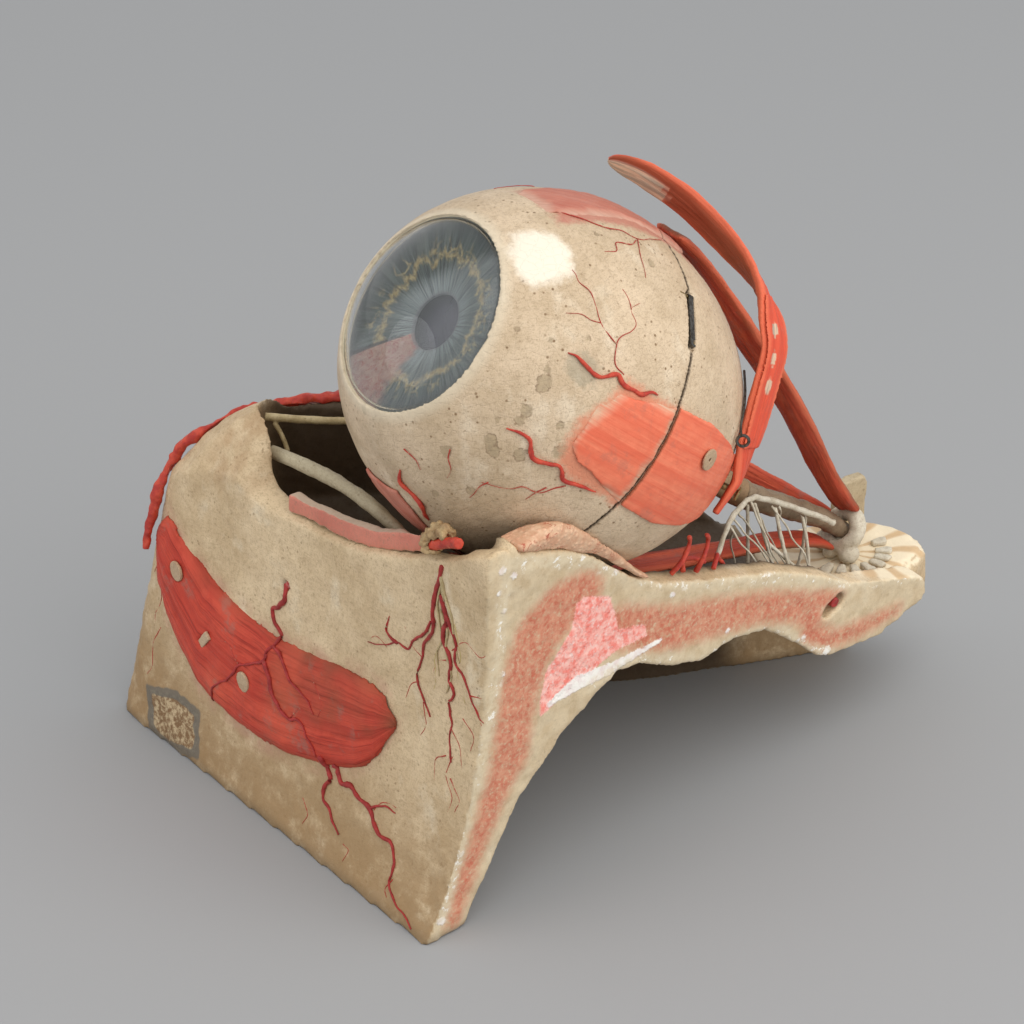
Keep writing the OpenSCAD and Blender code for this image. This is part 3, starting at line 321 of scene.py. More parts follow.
# ---- material tools: a socket that can be added, scaled and compared
class Value:
    def __init__(self, tree, socket):
        self.tree, self.socket = tree, socket

    def math(self, operation, *others, clamp=False):
        node = self.tree.nodes.new("ShaderNodeMath")
        node.operation, node.use_clamp = operation, clamp
        for i, v in enumerate((self,) + others):
            feed(self.tree, v, node.inputs[i])
        return Value(self.tree, node.outputs[0])

    def __add__(self, o): return self.math("ADD", o)
    def __sub__(self, o): return self.math("SUBTRACT", o)
    def __mul__(self, o): return self.math("MULTIPLY", o)
    __radd__, __rmul__ = __add__, __mul__
    def __rsub__(self, o): return (self * -1) + o
    def __truediv__(self, o): return self.math("DIVIDE", o)
    def power(self, o): return self.math("POWER", o)
    def sin(self): return self.math("SINE")
    def absolute(self): return self.math("ABSOLUTE")
    def atLeast(self, o): return self.math("MAXIMUM", o)

    def span(self, low, high, toLow=0.0, toHigh=1.0, soft=True):
        node = self.tree.nodes.new("ShaderNodeMapRange")
        node.interpolation_type = "SMOOTHSTEP" if soft else "LINEAR"
        for i, v in enumerate((self, low, high, toLow, toHigh)):
            feed(self.tree, v, node.inputs[i])
        return Value(self.tree, node.outputs[0])


def feed(tree, value, socket):
    if isinstance(value, Value):
        tree.links.new(value.socket, socket)
    elif isinstance(value, (tuple, list)):
        socket.default_value = tuple(value) + (1.0,) * (len(socket.default_value) - len(value))
    else:
        socket.default_value = value


class Paint:
    def __init__(self, name, specular=0.4):
        self.material = bpy.data.materials.new(name)
        self.material.use_nodes = True
        self.tree = self.material.node_tree
        self.shader = self.tree.nodes["Principled BSDF"]
        self.shader.inputs["Specular IOR Level"].default_value = specular
        coords = self.tree.nodes.new("ShaderNodeTexCoord")
        self.mm = self.vector("SCALE", Value(self.tree, coords.outputs["Object"]), scale=1000.0)

    def vector(self, operation, a, b=None, scale=None):
        node = self.tree.nodes.new("ShaderNodeVectorMath")
        node.operation = operation
        feed(self.tree, a, node.inputs[0])
        if b is not None:
            feed(self.tree, b, node.inputs[1])
        if scale is not None:
            feed(self.tree, scale, node.inputs["Scale"])
        return Value(self.tree, node.outputs[0])

    def number(self, name):
        node = self.tree.nodes.new("ShaderNodeAttribute")
        node.attribute_name = name
        return Value(self.tree, node.outputs["Fac"])

    def triple(self, name):
        node = self.tree.nodes.new("ShaderNodeAttribute")
        node.attribute_name = name
        return Value(self.tree, node.outputs["Vector"])

    def parts(self, vector):
        node = self.tree.nodes.new("ShaderNodeSeparateXYZ")
        feed(self.tree, vector, node.inputs[0])
        return [Value(self.tree, o) for o in node.outputs]

    def whole(self, x, y, z):
        node = self.tree.nodes.new("ShaderNodeCombineXYZ")
        for i, v in enumerate((x, y, z)):
            feed(self.tree, v, node.inputs[i])
        return Value(self.tree, node.outputs[0])

    def stretch(self, x, y, z, vector=None):
        return self.vector("MULTIPLY", vector or self.mm, (x, y, z))

    def noise(self, size, detail=3.0, rough=0.55, vector=None, twist=0.0):
        node = self.tree.nodes.new("ShaderNodeTexNoise")
        feed(self.tree, vector or self.mm, node.inputs["Vector"])
        for key, v in (("Scale", 1.0 / size), ("Detail", detail), ("Roughness", rough), ("Distortion", twist)):
            node.inputs[key].default_value = v
        return Value(self.tree, node.outputs[0])

    def cells(self, size, feature="F1", vector=None, loose=1.0, output="Distance"):
        node = self.tree.nodes.new("ShaderNodeTexVoronoi")
        node.feature = feature
        feed(self.tree, vector or self.mm, node.inputs["Vector"])
        node.inputs["Scale"].default_value = 1.0 / size
        node.inputs["Randomness"].default_value = loose
        return Value(self.tree, node.outputs[output])

    def blend(self, amount, a, b, kind="MIX"):
        node = self.tree.nodes.new("ShaderNodeMix")
        node.data_type, node.blend_type = "RGBA", kind
        feed(self.tree, amount, node.inputs[0])
        feed(self.tree, a, node.inputs[6])
        feed(self.tree, b, node.inputs[7])
        return Value(self.tree, node.outputs[2])

    def bump(self, height, depth=0.3, strength=1.0, normal=None):
        node = self.tree.nodes.new("ShaderNodeBump")
        feed(self.tree, height, node.inputs["Height"])
        node.inputs["Distance"].default_value = depth / 1000
        node.inputs["Strength"].default_value = strength
        if normal is not None:
            feed(self.tree, normal, node.inputs["Normal"])
        return Value(self.tree, node.outputs[0])

    def finish(self, colour, rough, normal=None, **others):
        feed(self.tree, colour, self.shader.inputs["Base Color"])
        feed(self.tree, rough, self.shader.inputs["Roughness"])
        if normal is not None:
            feed(self.tree, normal, self.shader.inputs["Normal"])
        for key, v in others.items():
            feed(self.tree, v, self.shader.inputs[key.replace("_", " ")])
        return self.material


def agedPaper(p, light, dark, stain, pale=None, speck=0.5, stains=0.5):
    broad = p.noise(38, 3, 0.6).span(0.36, 0.64)
    middle = p.noise(9, 5, 0.65).span(0.35, 0.68)
    fine = p.noise(1.6, 4, 0.7)
    colour = p.blend(broad * 0.55 + middle * 0.4, light, dark)
    if pale:
        colour = p.blend(p.noise(17, 4, 0.6, vector=p.stretch(1, 1.3, 0.8)).span(0.55, 0.72) * 0.65, colour, pale)
    colour = p.blend(fine.span(0.5, 0.75) * 0.35, colour, stain)
    specks = p.cells(2.7).span(0.1, 0.22, 1, 0) * p.noise(11, 2).span(0.42, 0.6)
    colour = p.blend(specks * speck, colour, stain)
    grains = p.noise(0.55, 2, 0.6).span(0.57, 0.74)
    colour = p.blend(grains * 0.4 * speck, colour, stain)
    blots = p.noise(6.5, 6, 0.7, twist=0.6).span(0.64, 0.72)
    colour = p.blend(blots * stains, colour, stain)
    weave = (p.noise(0.5, 2, 0.6, vector=p.stretch(0.3, 0.3, 1.4))
             + p.noise(0.5, 2, 0.6, vector=p.stretch(1.4, 1.4, 0.3)))
    colour = p.blend(weave.span(0.95, 1.25) * 0.28, colour, stain)
    height = weave * 0.3 + fine * 0.35 + middle * 0.5
    return colour, height, fine


paper = {
    "light": (0.75, 0.58, 0.37), "dark": (0.55, 0.40, 0.23), "stain": (0.21, 0.125, 0.058),
    # cavity: colour of the painted shade inside the orbit
    "pale": (0.83, 0.71, 0.52), "cavity": (0.032, 0.018, 0.011),
}


def castPaper():
    p = Paint("agedCastPaper", 0.35)
    colour, height, fine = agedPaper(p, paper["light"], paper["dark"], paper["stain"], paper["pale"])
    wobble = (p.noise(3.2, 4, 0.7) - 0.5) * 7
    ragged = (p.noise(1.3, 3, 0.7) - 0.5) * 2.6
    # the cut face: cream rim, dull pink band, bright pink spongy patch, white worn chips
    cut = p.number("cut")
    colour = p.blend(cut * 0.55, colour, p.blend(p.noise(5, 4).span(0.35, 0.7), (0.70, 0.59, 0.41), (0.55, 0.43, 0.27)))
    spongy = p.noise(2.6, 4, 0.68)
    pores = p.cells(1.9).span(0.18, 0.5, 1, 0)
    band = (p.number("band") + wobble * 0.5).span(3.6, -3.6)
    dullPink = p.blend(spongy.span(0.35, 0.68), (0.66, 0.29, 0.18), (0.55, 0.135, 0.075))
    colour = p.blend(band * cut * p.noise(1.4, 4, 0.7).span(0.22, 0.55) * 0.95, colour, dullPink)
    patch = (p.number("patch") + ragged).span(0.5, -0.5)
    brightPink = p.blend(spongy.span(0.34, 0.66), (0.98, 0.56, 0.48), (0.90, 0.24, 0.19))
    brightPink = p.blend(p.noise(2.0, 4, 0.75).span(0.53, 0.68) * 0.8, brightPink, (0.93, 0.72, 0.66))
    brightPink = p.blend(p.noise(1.6, 4, 0.8).span(0.63, 0.7) * 0.8, brightPink, (0.52, 0.05, 0.05))
    colour = p.blend(patch * cut, colour, brightPink)
    # white: worn chips on the cut face, and a painted highlight at the centre of the cheek's hole
    white = (p.number("white") + ragged * 0.9).span(0.4, -0.4)
    colour = p.blend(white, colour, p.blend(p.noise(4, 3).span(0.4, 0.6), (0.93, 0.89, 0.82), (0.84, 0.72, 0.68)))
    rim = p.number("rim") * (p.noise(2.4, 4, 0.75).span(0.3, 0.62))
    colour = p.blend(rim * 0.8, colour, (0.72, 0.61, 0.43))
    worn = p.number("rim") * p.noise(3.6, 5, 0.75).span(0.585, 0.6)
    colour = p.blend(worn * 0.9, colour, (0.92, 0.88, 0.80))
    # darker towards the bottom and, more faintly, towards the left, in patches
    darkening = p.number("darkening") * p.noise(9, 5, 0.7).span(0.18, 0.55)
    colour = p.blend(darkening * 0.9, colour, (0.33, 0.20, 0.09))
    # brown glue left by a lost paper tag, with its grey edge
    tag = p.number("tag") + (p.noise(5, 3) - 0.5) * 3
    glue = p.blend(p.noise(2.2, 4, 0.75).span(0.42, 0.62), (0.23, 0.13, 0.06), (0.56, 0.42, 0.25))
    colour = p.blend(tag.span(0.4, -0.4), colour, glue)
    colour = p.blend(tag.absolute().span(2.1, 1.2) * 0.85, colour, (0.155, 0.14, 0.115))
    # striped fan at the apex, rusty mouth of the cavity, painted shade darkening the inside of the orbit
    stripes = p.blend(p.number("stripe").span(0.55, 0.95), (0.90, 0.77, 0.56), (0.66, 0.45, 0.25))
    colour = p.blend(p.number("fan") * 0.85, colour, stripes)
    colour = p.blend(p.number("rust") * p.noise(7, 4).span(0.35, 0.7) * 0.5, colour, (0.40, 0.23, 0.11))
    # painted shade: the inside of the orbit behind the globe is darkened to the cavity colour
    colour = p.blend(p.number("cavityShade") * 0.95, colour, paper["cavity"])
    colour = p.blend(p.number("blush") * p.noise(8, 4).span(0.35, 0.7) * 0.55, colour, (0.50, 0.25, 0.18))
    # darker along the foot where the block meets the table, and painted shade inside the cheek's hole
    footDarkAndHoleShade = p.number("footDarkAndHoleShade")
    colour = p.blend(footDarkAndHoleShade * 0.75, colour, (0.12, 0.085, 0.05))
    height = height + patch * cut * (spongy * 1.6 - pores * 0.6 - 0.7) + white * 0.8
    return p.finish(colour, fine.span(0.2, 0.8, 0.42, 0.68), p.bump(height, 0.35, 0.7))


def scleraPaper():
    p = Paint("agedScleraPaper", 0.4)
    colour, height, fine = agedPaper(p, (0.71, 0.55, 0.38), (0.53, 0.395, 0.25), (0.25, 0.155, 0.08),
                                     (0.80, 0.67, 0.50), speck=1.0, stains=0.5)
    ragged = (p.noise(1.7, 4, 0.7) - 0.5) * 2.0 + (p.noise(4.5, 3, 0.6) - 0.5) * 4.5
    retouch = (p.number("retouch") + (p.noise(5, 4, 0.7) - 0.5) * 7).span(2.0, -2.0)
    colour = p.blend(retouch * 0.9, colour, (0.93, 0.83, 0.68))
    stain = p.number("stain") + ragged
    colour = p.blend(stain.span(0.35, -0.5) * 0.6, colour,
                     p.blend(fine.span(0.3, 0.7), (0.40, 0.30, 0.17), (0.27, 0.20, 0.12)))
    colour = p.blend(stain.absolute().span(0.5, 0.05) * p.noise(3, 3).span(0.4, 0.6) * 0.55, colour, (0.17, 0.10, 0.05))
    colour = p.blend((p.number("greyPatch") + ragged * 2).span(1.5, -1.5) * 0.6, colour, (0.34, 0.29, 0.20))
    # old red paint of the muscle ends, worn away in brush strokes at its front edge
    brushed = p.number("patchEdge") + (p.noise(2.5, 5, 0.75) - 0.5) * 7
    colour = p.blend(brushed.span(1.6, -2.5) * 0.85, colour, (0.70, 0.235, 0.13))
    topEdge = p.number("topEdge") + (p.noise(3.0, 5, 0.7) - 0.5) * 8
    colour = p.blend(topEdge.span(2.0, -2.0) * 0.9, colour, (0.52, 0.20, 0.14))
    # darker towards the bottom of the globe, in patches
    colour = p.blend(p.number("low") * p.noise(12, 4).span(0.3, 0.65) * 0.55, colour, (0.36, 0.26, 0.155))
    colour = p.blend(p.number("seam") * 0.9, colour, (0.055, 0.035, 0.02))
    colour = p.blend(p.number("limbus") * 0.6, colour, (0.72, 0.62, 0.46))
    crackle = p.cells(3.2, "DISTANCE_TO_EDGE", vector=p.vector("ADD", p.mm, p.vector("SCALE", p.noise(4), scale=3.0)))
    height = height + crackle.span(0.0, 0.06) * 0.5 + stain.span(0.5, -0.5) * -0.4
    return p.finish(colour, fine.span(0.2, 0.8, 0.32, 0.52), p.bump(height, 0.28, 0.6))


def musclePaper(name, light, dark, streak, wear=(0.55, 0.44, 0.3), grey=0.25, shine=0.25, grain=(0.02, 1.0), depth=0.4,
                under=(0.27, 0.2, 0.13), lines=0.75):
    p = Paint(name, shine)
    fibre = p.triple("fibre")
    strands = p.noise(1.5, 4, 0.7, vector=p.vector("MULTIPLY", fibre, (grain[0] * 2, grain[1] * 1.4, 1.0)))
    wide = p.noise(4.2, 3, 0.6, vector=p.vector("MULTIPLY", fibre, (grain[0] * 1.5, grain[1], 1.0)))
    hairs = p.noise(0.7, 2, 0.6, vector=p.vector("MULTIPLY", fibre, (grain[0] * 3, grain[1], 1.0)))
    colour = p.blend(wide.span(0.32, 0.68), light, dark)
    colour = p.blend(p.noise(5, 5, 0.7).span(0.38, 0.68) * 0.6, colour, dark)
    colour = p.blend(strands.span(0.5, 0.72) * lines, colour, streak)
    colour = p.blend(hairs.span(0.56, 0.7) * lines * 0.5, colour, streak)
    colour = p.blend(p.noise(10, 5, 0.7).span(0.55, 0.7) * grey, colour, (0.30, 0.20, 0.155))
    colour = p.blend(p.number("shade") * 0.9, colour, (0.17, 0.075, 0.035))
    # bright: painted highlight along the lit edges and outer face of the strap and muscle bands; on the cheek muscle
    # and side ends a brighter red tone
    colour = p.blend(p.number("bright") * 0.8, colour, (0.80, 0.17, 0.085))
    chips = p.cells(5.5, vector=p.vector("ADD", p.mm, p.vector("SCALE", p.noise(2), scale=3.0)))
    worn = (p.number("worn") * 0.5 + p.noise(3.1, 5, 0.75) * 0.9).span(0.86, 0.9)
    colour = p.blend(worn, colour, wear)
    colour = p.blend(p.number("bare") * 0.95, colour, p.blend(strands.span(0.4, 0.6), wear, under))
    height = strands * 1.0 + hairs * 0.5 + wide * 0.6 + worn * -0.6 + chips * 0.1
    return p.finish(colour, strands.span(0.2, 0.8, 0.34, 0.6), p.bump(height, depth, 0.8))


def cordPaint(name, colourA, colourB, shine=0.5, rough=0.35, darkening=0.4, lump=1.4):
    p = Paint(name, shine)
    colour = p.blend(p.noise(3.5, 4, 0.65).span(0.35, 0.65), colourA, colourB)
    colour = p.blend(p.noise(1.1, 3, 0.7).span(0.55, 0.75) * darkening, colour, (0.10, 0.055, 0.03))
    glints = p.noise(lump, 3, 0.6)
    return p.finish(colour, glints.span(0.3, 0.7, rough * 0.8, rough * 1.6), p.bump(glints, 0.3, 0.6))


def facedPaper(name, light, dark, stain, rough=0.55):
    p = Paint(name, 0.35)
    colour, height, fine = agedPaper(p, light, dark, stain)
    colour = p.blend(p.number("shade") * 0.8, colour, stain)
    colour = p.blend(p.number("top") * 0.9, colour, p.blend(fine, (0.62, 0.50, 0.37), (0.45, 0.34, 0.24)))
    return p.finish(colour, fine.span(0.2, 0.8, rough * 0.85, rough * 1.2), p.bump(height, 0.3, 0.7))


def metalPaint(name, colour, tarnish, rough, metallic=1.0):
    p = Paint(name, 0.5)
    spots = p.noise(1.2, 4, 0.7)
    p.shader.inputs["Metallic"].default_value = metallic
    mixed = p.blend(spots.span(0.4, 0.65) * 0.8, colour, tarnish)
    return p.finish(mixed, spots.span(0.3, 0.7, rough * 0.8, rough * 1.5), p.bump(spots, 0.12, 0.5))


def irisPaint():
    p = Paint("paintedIris", 0.3)
    u, v, _ = p.parts(p.triple("eye"))
    r = (u * u + v * v).power(0.5)
    ux, vx = u / r, v / r
    spin = p.whole(ux * 26, vx * 26, r * 0.05)
    rays = p.noise(1.0, 4, 0.75, vector=spin)
    wideRays = p.noise(3.0, 3, 0.6, vector=p.whole(ux * 26, vx * 26, r * 0.12))
    colour = p.blend(rays.span(0.36, 0.62), (0.014, 0.020, 0.021), (0.10, 0.118, 0.108))
    colour = p.blend(wideRays.span(0.4, 0.65) * 0.5, colour, (0.045, 0.066, 0.068))
    colour = p.blend(r.span(18, 11) * 0.6 * rays.span(0.3, 0.6), colour, (0.21, 0.245, 0.25))
    colour = p.blend(r.span(24, 31) * 0.6, colour, (0.035, 0.042, 0.045))
    # ragged golden ring with loops that reach outward
    sway = p.noise(9.0, 3, 0.7, vector=p.whole(ux * 26, vx * 26, 0.0))
    ring = (r - (sway - 0.5) * 14 - 20.2).absolute()
    loops = p.cells(5.0, "DISTANCE_TO_EDGE",
                    vector=p.vector("ADD", p.whole(u, v, 0.0), p.vector("SCALE", p.noise(3.0), scale=2.5)))
    lace = loops.span(0.14, 0.03) * (r - (sway - 0.5) * 10).span(18, 20) * (r + sway * 10).span(33, 28)
    lace = lace * p.noise(7.0, 2).span(0.42, 0.6)
    ragged = p.noise(1.2, 4, 0.75)
    gold = (ring + (ragged - 0.5) * 5).span(2.2, 0.2).atLeast(lace * 0.8)
    gold = gold * p.noise(2.4, 3, 0.7).span(0.3, 0.55)
    colour = p.blend(gold * 0.8, colour, p.blend(ragged.span(0.4, 0.6), (0.27, 0.19, 0.07), (0.42, 0.33, 0.16)))
    # the pink sector below, with its dark upper edge and fine vessels
    turn = v.math("ARCTAN2", u) * (180 / math.pi)
    inSector = (turn + (p.noise(6, 3) - 0.5) * 5).span(-133, -131) * (turn + (p.noise(4, 3) - 0.5) * 26).span(-82, -96)
    pink = p.blend(p.noise(2.2, 4, 0.7).span(0.35, 0.65), (0.33, 0.20, 0.15), (0.25, 0.115, 0.08))
    vessels = p.noise(4, 4, 0.7, twist=1.5).span(0.52, 0.56) * p.noise(4, 4, 0.7, twist=1.5).span(0.60, 0.56)
    pink = p.blend(vessels, pink, (0.25, 0.03, 0.02))
    pink = p.blend(rays.span(0.5, 0.7) * 0.4, pink, (0.30, 0.25, 0.23))
    colour = p.blend(inSector * 0.9, colour, pink)
    colour = p.blend((turn + 132.5).absolute().span(2.2, 0.8) * r.span(11, 13) * 0.9, colour, (0.03, 0.02, 0.02))
    colour = p.blend(r.span(10.4, 9.6) * 0.7, colour, (0.10, 0.10, 0.11))
    return p.finish(colour, 0.5, p.bump(rays + gold * 0.6, 0.25, 0.6))


def glassPaint(name, tint, rough=0.02, clear=1.0, withPaintedGlare=False):
    p = Paint(name, 0.5)
    tree = p.tree
    p.shader.inputs["Transmission Weight"].default_value = clear
    p.shader.inputs["IOR"].default_value = 1.46
    p.shader.inputs["Roughness"].default_value = rough
    p.shader.inputs["Base Color"].default_value = tint + (1.0,)
    wavy = p.bump(p.noise(24, 2, 0.5), 0.25, 0.25)
    tree.links.new(wavy.socket, p.shader.inputs["Normal"])
    glass = p.shader.outputs[0]
    if withPaintedGlare:  # painted reflection: a pale diffuse patch on the side of the glass turned to the light
        glareDiffuse, glareMixed = tree.nodes.new("ShaderNodeBsdfDiffuse"), tree.nodes.new("ShaderNodeMixShader")
        glareDiffuse.inputs[0].default_value = (0.80, 0.84, 0.86, 1.0)
        feed(tree, p.number("paintedGlare") * p.noise(9, 3, 0.6).span(0.1, 0.8, 0.8, 1.15), glareMixed.inputs[0])
        tree.links.new(glass, glareMixed.inputs[1])
        tree.links.new(glareDiffuse.outputs[0], glareMixed.inputs[2])
        glass = glareMixed.outputs[0]
    path = tree.nodes.new("ShaderNodeLightPath")
    through = tree.nodes.new("ShaderNodeBsdfTransparent")
    through.inputs[0].default_value = tint + (1.0,)
    mixed = tree.nodes.new("ShaderNodeMixShader")
    tree.links.new(path.outputs["Is Shadow Ray"], mixed.inputs[0])
    tree.links.new(glass, mixed.inputs[1])
    tree.links.new(through.outputs[0], mixed.inputs[2])
    tree.links.new(mixed.outputs[0], tree.nodes["Material Output"].inputs[0])
    return p.material


def hairPaint(name, colour, into, keep=0.62):
    p = Paint(name, 0.4)
    faded = p.blend(p.noise(2.5, 4, 0.7).span(keep - 0.1, keep + 0.08), colour, into)
    return p.finish(faded, 0.5)


print("materials ready")


# ---- helpers that dress one CAD node
bodyOf = {name: obj["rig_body"] for name, obj in frame["nodes"].items()}


def softPiece(node, name, material, voxel, rounds=3, layers=(), seed=5, extra=None):
    mesh = recast([node], voxel, rounds)
    if layers:
        roughen(mesh, layers, seed)
    if extra:
        extra(mesh)
    return showPiece(mesh, name, bodyOf[node], material, (node,))


def alongBand(mm, points, turns, steps=8):
    line = smoothLine(points, steps)
    wide = smoothLine(turns, steps)
    along = unit(np.gradient(line, axis=0))
    normal = unit(np.cross(along, wide))
    across = np.cross(normal, along)
    length = np.r_[0, np.cumsum(np.linalg.norm(np.diff(line, axis=0), axis=1))]
    best, where = np.full(len(mm), 1e9), np.zeros(len(mm), int)
    for i, p in enumerate(line):
        gap = ((mm - p) ** 2).sum(axis=1)
        near = gap < best
        best[near], where[near] = gap[near], i
    d = mm - line[where]
    return (length[where] + (d * along[where]).sum(axis=1), (d * across[where]).sum(axis=1),
            (d * normal[where]).sum(axis=1), where / (len(line) - 1))


# ---- the block: one cast, then each named part takes its own faces
block = {
    "voxel": 1.1, "lumps": [(22, 0.55), (8, 0.3), (3.2, 0.22), (1.7, 0.12)],
    "patch": [(60, 111), (72, 106), (75, 98), (77, 91), (89, 88), (90, 83), (77, 83), (61, 78), (44, 72), (44, 80),
              (46, 88), (51, 95), (56, 101), (57, 109)],
    "band": [(76, 92), (90, 86), (107, 80), (125, 76), (145, 71), (162, 64), (171, 56), (170, 50), (181, 42),
             (198, 40), (215, 40)],
    "bandWidths": [8, 8, 8, 7, 6, 6, 5, 5, 4, 3.5, 2],
    "branch": [(161, 64), (175, 61), (183, 59)],
    "leg": [(58, 111), (49, 110), (42, 105), (38, 96), (35, 85), (33, 73), (32, 60), (27, 49), (23, 38), (18, 24),
            (12, 5)],
    "legWidths": [10, 11, 11, 10, 9, 8, 8, 6, 5, 4, 3],
    "leftRim": [(26, 137), (25, 112), (23, 82), (18, 57), (13, 33), (7, 9)],
    "topRim": [(30, 136), (56, 127), (74, 116), (86, 107), (116, 93), (143, 84), (174, 70), (186, 64), (227, 49)],
    "lowRim": [(66, 74), (71, 75), (83, 75), (99, 70), (118, 61), (130, 63), (143, 61), (156, 56), (169, 43), (182, 36)],
    "whiteEdge": [(96, 79), (89, 78), (74, 77), (60, 78), (48, 75)],
    "chips": [(24, 136, 1.6), (29, 132, 1.3), (23, 128, 1), (26, 120, 1.2), (74, 115, 1.4), (100, 95, 1.2),
              (180, 38, 1.6), (167, 49, 1.2), (128, 69, 1.1), (27, 96, 1), (7, 7, 1.8), (14, 31, 1.2)],
    "tag": [(-111, 16), (-96, 21), (-84, 19), (-82, 4), (-98, 0), (-109, 2)],
    "rust": (-80, -62, 119, 26), "foramen": (-45, 85, 2.2), "fanMiddle": (-7, 134),
}
blockNodes = ["cheek_shell", "nasal_wall", "orbit_floor", "temporal_section", "apex_block"]
muscleLow = [(-114, 72), (-111, 62), (-106, 50), (-95, 38.5), (-83, 29), (-66, 26), (-48, 25), (-30, 28),
             (-11, 33), (0, 38), (7, 44), (12, 54), (14, 59)]
muscleHigh = [(-114, 78), (-111, 83), (-106, 86), (-95, 79), (-83, 71), (-66, 67), (-48, 65.5), (-30, 67),
              (-11, 70), (0, 70), (7, 69.5), (12, 66), (14, 62)]


def paintBlock(mesh):
    co, n = vertsOf(mesh), normalsOf(mesh)
    mm = unplaced(co)
    s, h, out = toCut(mm)
    flat = np.c_[s, h]
    facing = fade(n @ cutFace["out"], 0.55, 0.85) * fade(out, -2.5, -1.2)
    note(mesh, "cut", facing)
    away = np.where(facing > 0.02, 0.0, 60.0)
    band = np.minimum(lineGap(flat, block["band"], block["bandWidths"]), lineGap(flat, block["branch"], [5, 4, 2]))
    note(mesh, "band", np.minimum(band, lineGap(flat, block["leg"], block["legWidths"])) + away)
    note(mesh, "patch", insideGap(flat, block["patch"]) + away)
    rims = np.minimum(np.minimum(lineGap(flat, block["leftRim"]), lineGap(flat, block["topRim"])),
                      lineGap(flat, block["lowRim"]))
    note(mesh, "rim", fade(rims, 4.2, 0.8) * facing)
    chip = np.min([np.hypot(s - a, h - b) - r for a, b, r in block["chips"]], axis=0)
    white = np.minimum(chip, lineGap(flat, block["whiteEdge"], [0.8, 1.2, 2.2, 2.8, 1.2])) + away
    onCheek = (n[:, 1] < -0.3) & (mm[:, 1] < -40) & (mm[:, 0] < 52)
    x, z = mm[:, 0], mm[:, 2]
    hole = np.hypot(x - block["foramen"][0], z - block["foramen"][1]) - 0.9
    # pale spot at the centre of the hole is a painted highlight
    note(mesh, "white", np.minimum(white, np.where(onCheek, hole + 1.0, 60)))
    note(mesh, "tag", np.where(onCheek, insideGap(np.c_[x, z], block["tag"]), 60))
    cx, cy = block["fanMiddle"]
    away = np.hypot(x - cx, mm[:, 1] - cy)
    top = (n[:, 2] > 0.5) & (z > 46) & (mm[:, 1] > 104)
    note(mesh, "fan", top * fade(away, 34, 29) * 1.0)
    turn = np.arctan2(mm[:, 1] - cy, x - cx)
    note(mesh, "stripe", np.sin(turn * 13 + lumps(mm, 9, 4) * 1.6) * 0.5 + 0.5)
    a, b, c, size = block["rust"]
    note(mesh, "rust", fade(np.linalg.norm(mm - [a, b, c], axis=1), size, size * 0.35))
    # painted shade: the inside of the orbit behind the globe is darkened to the cavity colour
    inside = fade(mm[:, 1], -60, -40) * fade(mm[:, 1], 112, 96) * fade(out, -4, -9) * (n[:, 2] > -0.6)
    outerNasal = (n[:, 0] < -0.3) & (x < -35)
    note(mesh, "cavityShade", np.where(outerNasal, 0, inside * 0.95))
    low, high = (np.interp(x, *np.array(q).T) for q in (muscleLow, muscleHigh))
    edge = np.maximum(np.maximum(low - z, z - high), np.maximum(-114 - x, x - 14))
    note(mesh, "blush", np.where(onCheek, fade(edge, 6, 0), 0))
    # darker towards the bottom and, more faintly, towards the left, in patches
    note(mesh, "darkening", np.clip(fade(z, 62, 0) * 0.95 + fade(-x, 60, 125) * 0.35, 0, 1) * (facing < 0.5))
    # darker along the foot where the block meets the table, and painted shade inside the cheek's hole
    note(mesh, "footDarkAndHoleShade", np.clip(fade(z, 5, 0.5) * 0.5 + np.where(onCheek, fade(hole, 1.6, 0.2), 0), 0, 1))


def hollowForamen(mesh):
    co, n = vertsOf(mesh), normalsOf(mesh)
    mm = unplaced(co)
    x, z, r = block["foramen"]
    dent = fade(np.hypot(mm[:, 0] - x, mm[:, 2] - z), r + 0.8, 0.4) * ((n[:, 1] < -0.3) & (mm[:, 1] < -40))
    co[:, 1] += dent * 0.0022
    setVerts(mesh, co)


def splitBlock(mesh, material):
    co = vertsOf(mesh)
    faces = [tuple(p.vertices) for p in mesh.polygons]
    middles = np.array([co[list(f)].mean(axis=0) for f in faces])
    trees = [treeOf(frame["nodes"][n].data) for n in blockNodes]
    owner = []
    for m in middles:
        point = Vector(m)
        owner.append(min(range(len(trees)), key=lambda i: trees[i].find_nearest(point)[3]))
    owner = np.array(owner)
    names = [a.name for a in mesh.attributes
             if a.domain == "POINT" and a.data_type == "FLOAT" and a.name != "position"]
    values = {}
    for name in names:
        v = np.empty(len(co), np.float32)
        mesh.attributes[name].data.foreach_get("value", v)
        values[name] = v
    normals = normalsOf(mesh)
    for i, node in enumerate(blockNodes):
        own = [faces[k] for k in np.flatnonzero(owner == i)]
        used = np.unique(np.concatenate([list(f) for f in own]))
        index = np.full(len(co), -1)
        index[used] = np.arange(len(used))
        piece = bpy.data.meshes.new(node)
        piece.from_pydata([tuple(v) for v in co[used]], [], [tuple(int(index[k]) for k in f) for f in own])
        piece.update()
        for name in names:
            note(piece, name, values[name][used])
        showPiece(piece, pieceNames[node], "base", material, (node,))
        piece.normals_split_custom_set_from_vertices([tuple(v) for v in normals[used]])


pieceNames = {"cheek_shell": "castCheek", "nasal_wall": "castNasalWall", "orbit_floor": "castOrbitFloor",
              "temporal_section": "cutTemporalFace", "apex_block": "castApex"}
cast = recast(blockNodes, block["voxel"], 3)
hollowForamen(cast)
roughen(cast, block["lumps"], 11, fade(vertsOf(cast)[:, 2], 0.0005, 0.006) * 0.85 + 0.15)
paintBlock(cast)
castTree = treeOf(cast)
splitBlock(cast, castPaper())
print("block ready", len(cast.polygons))

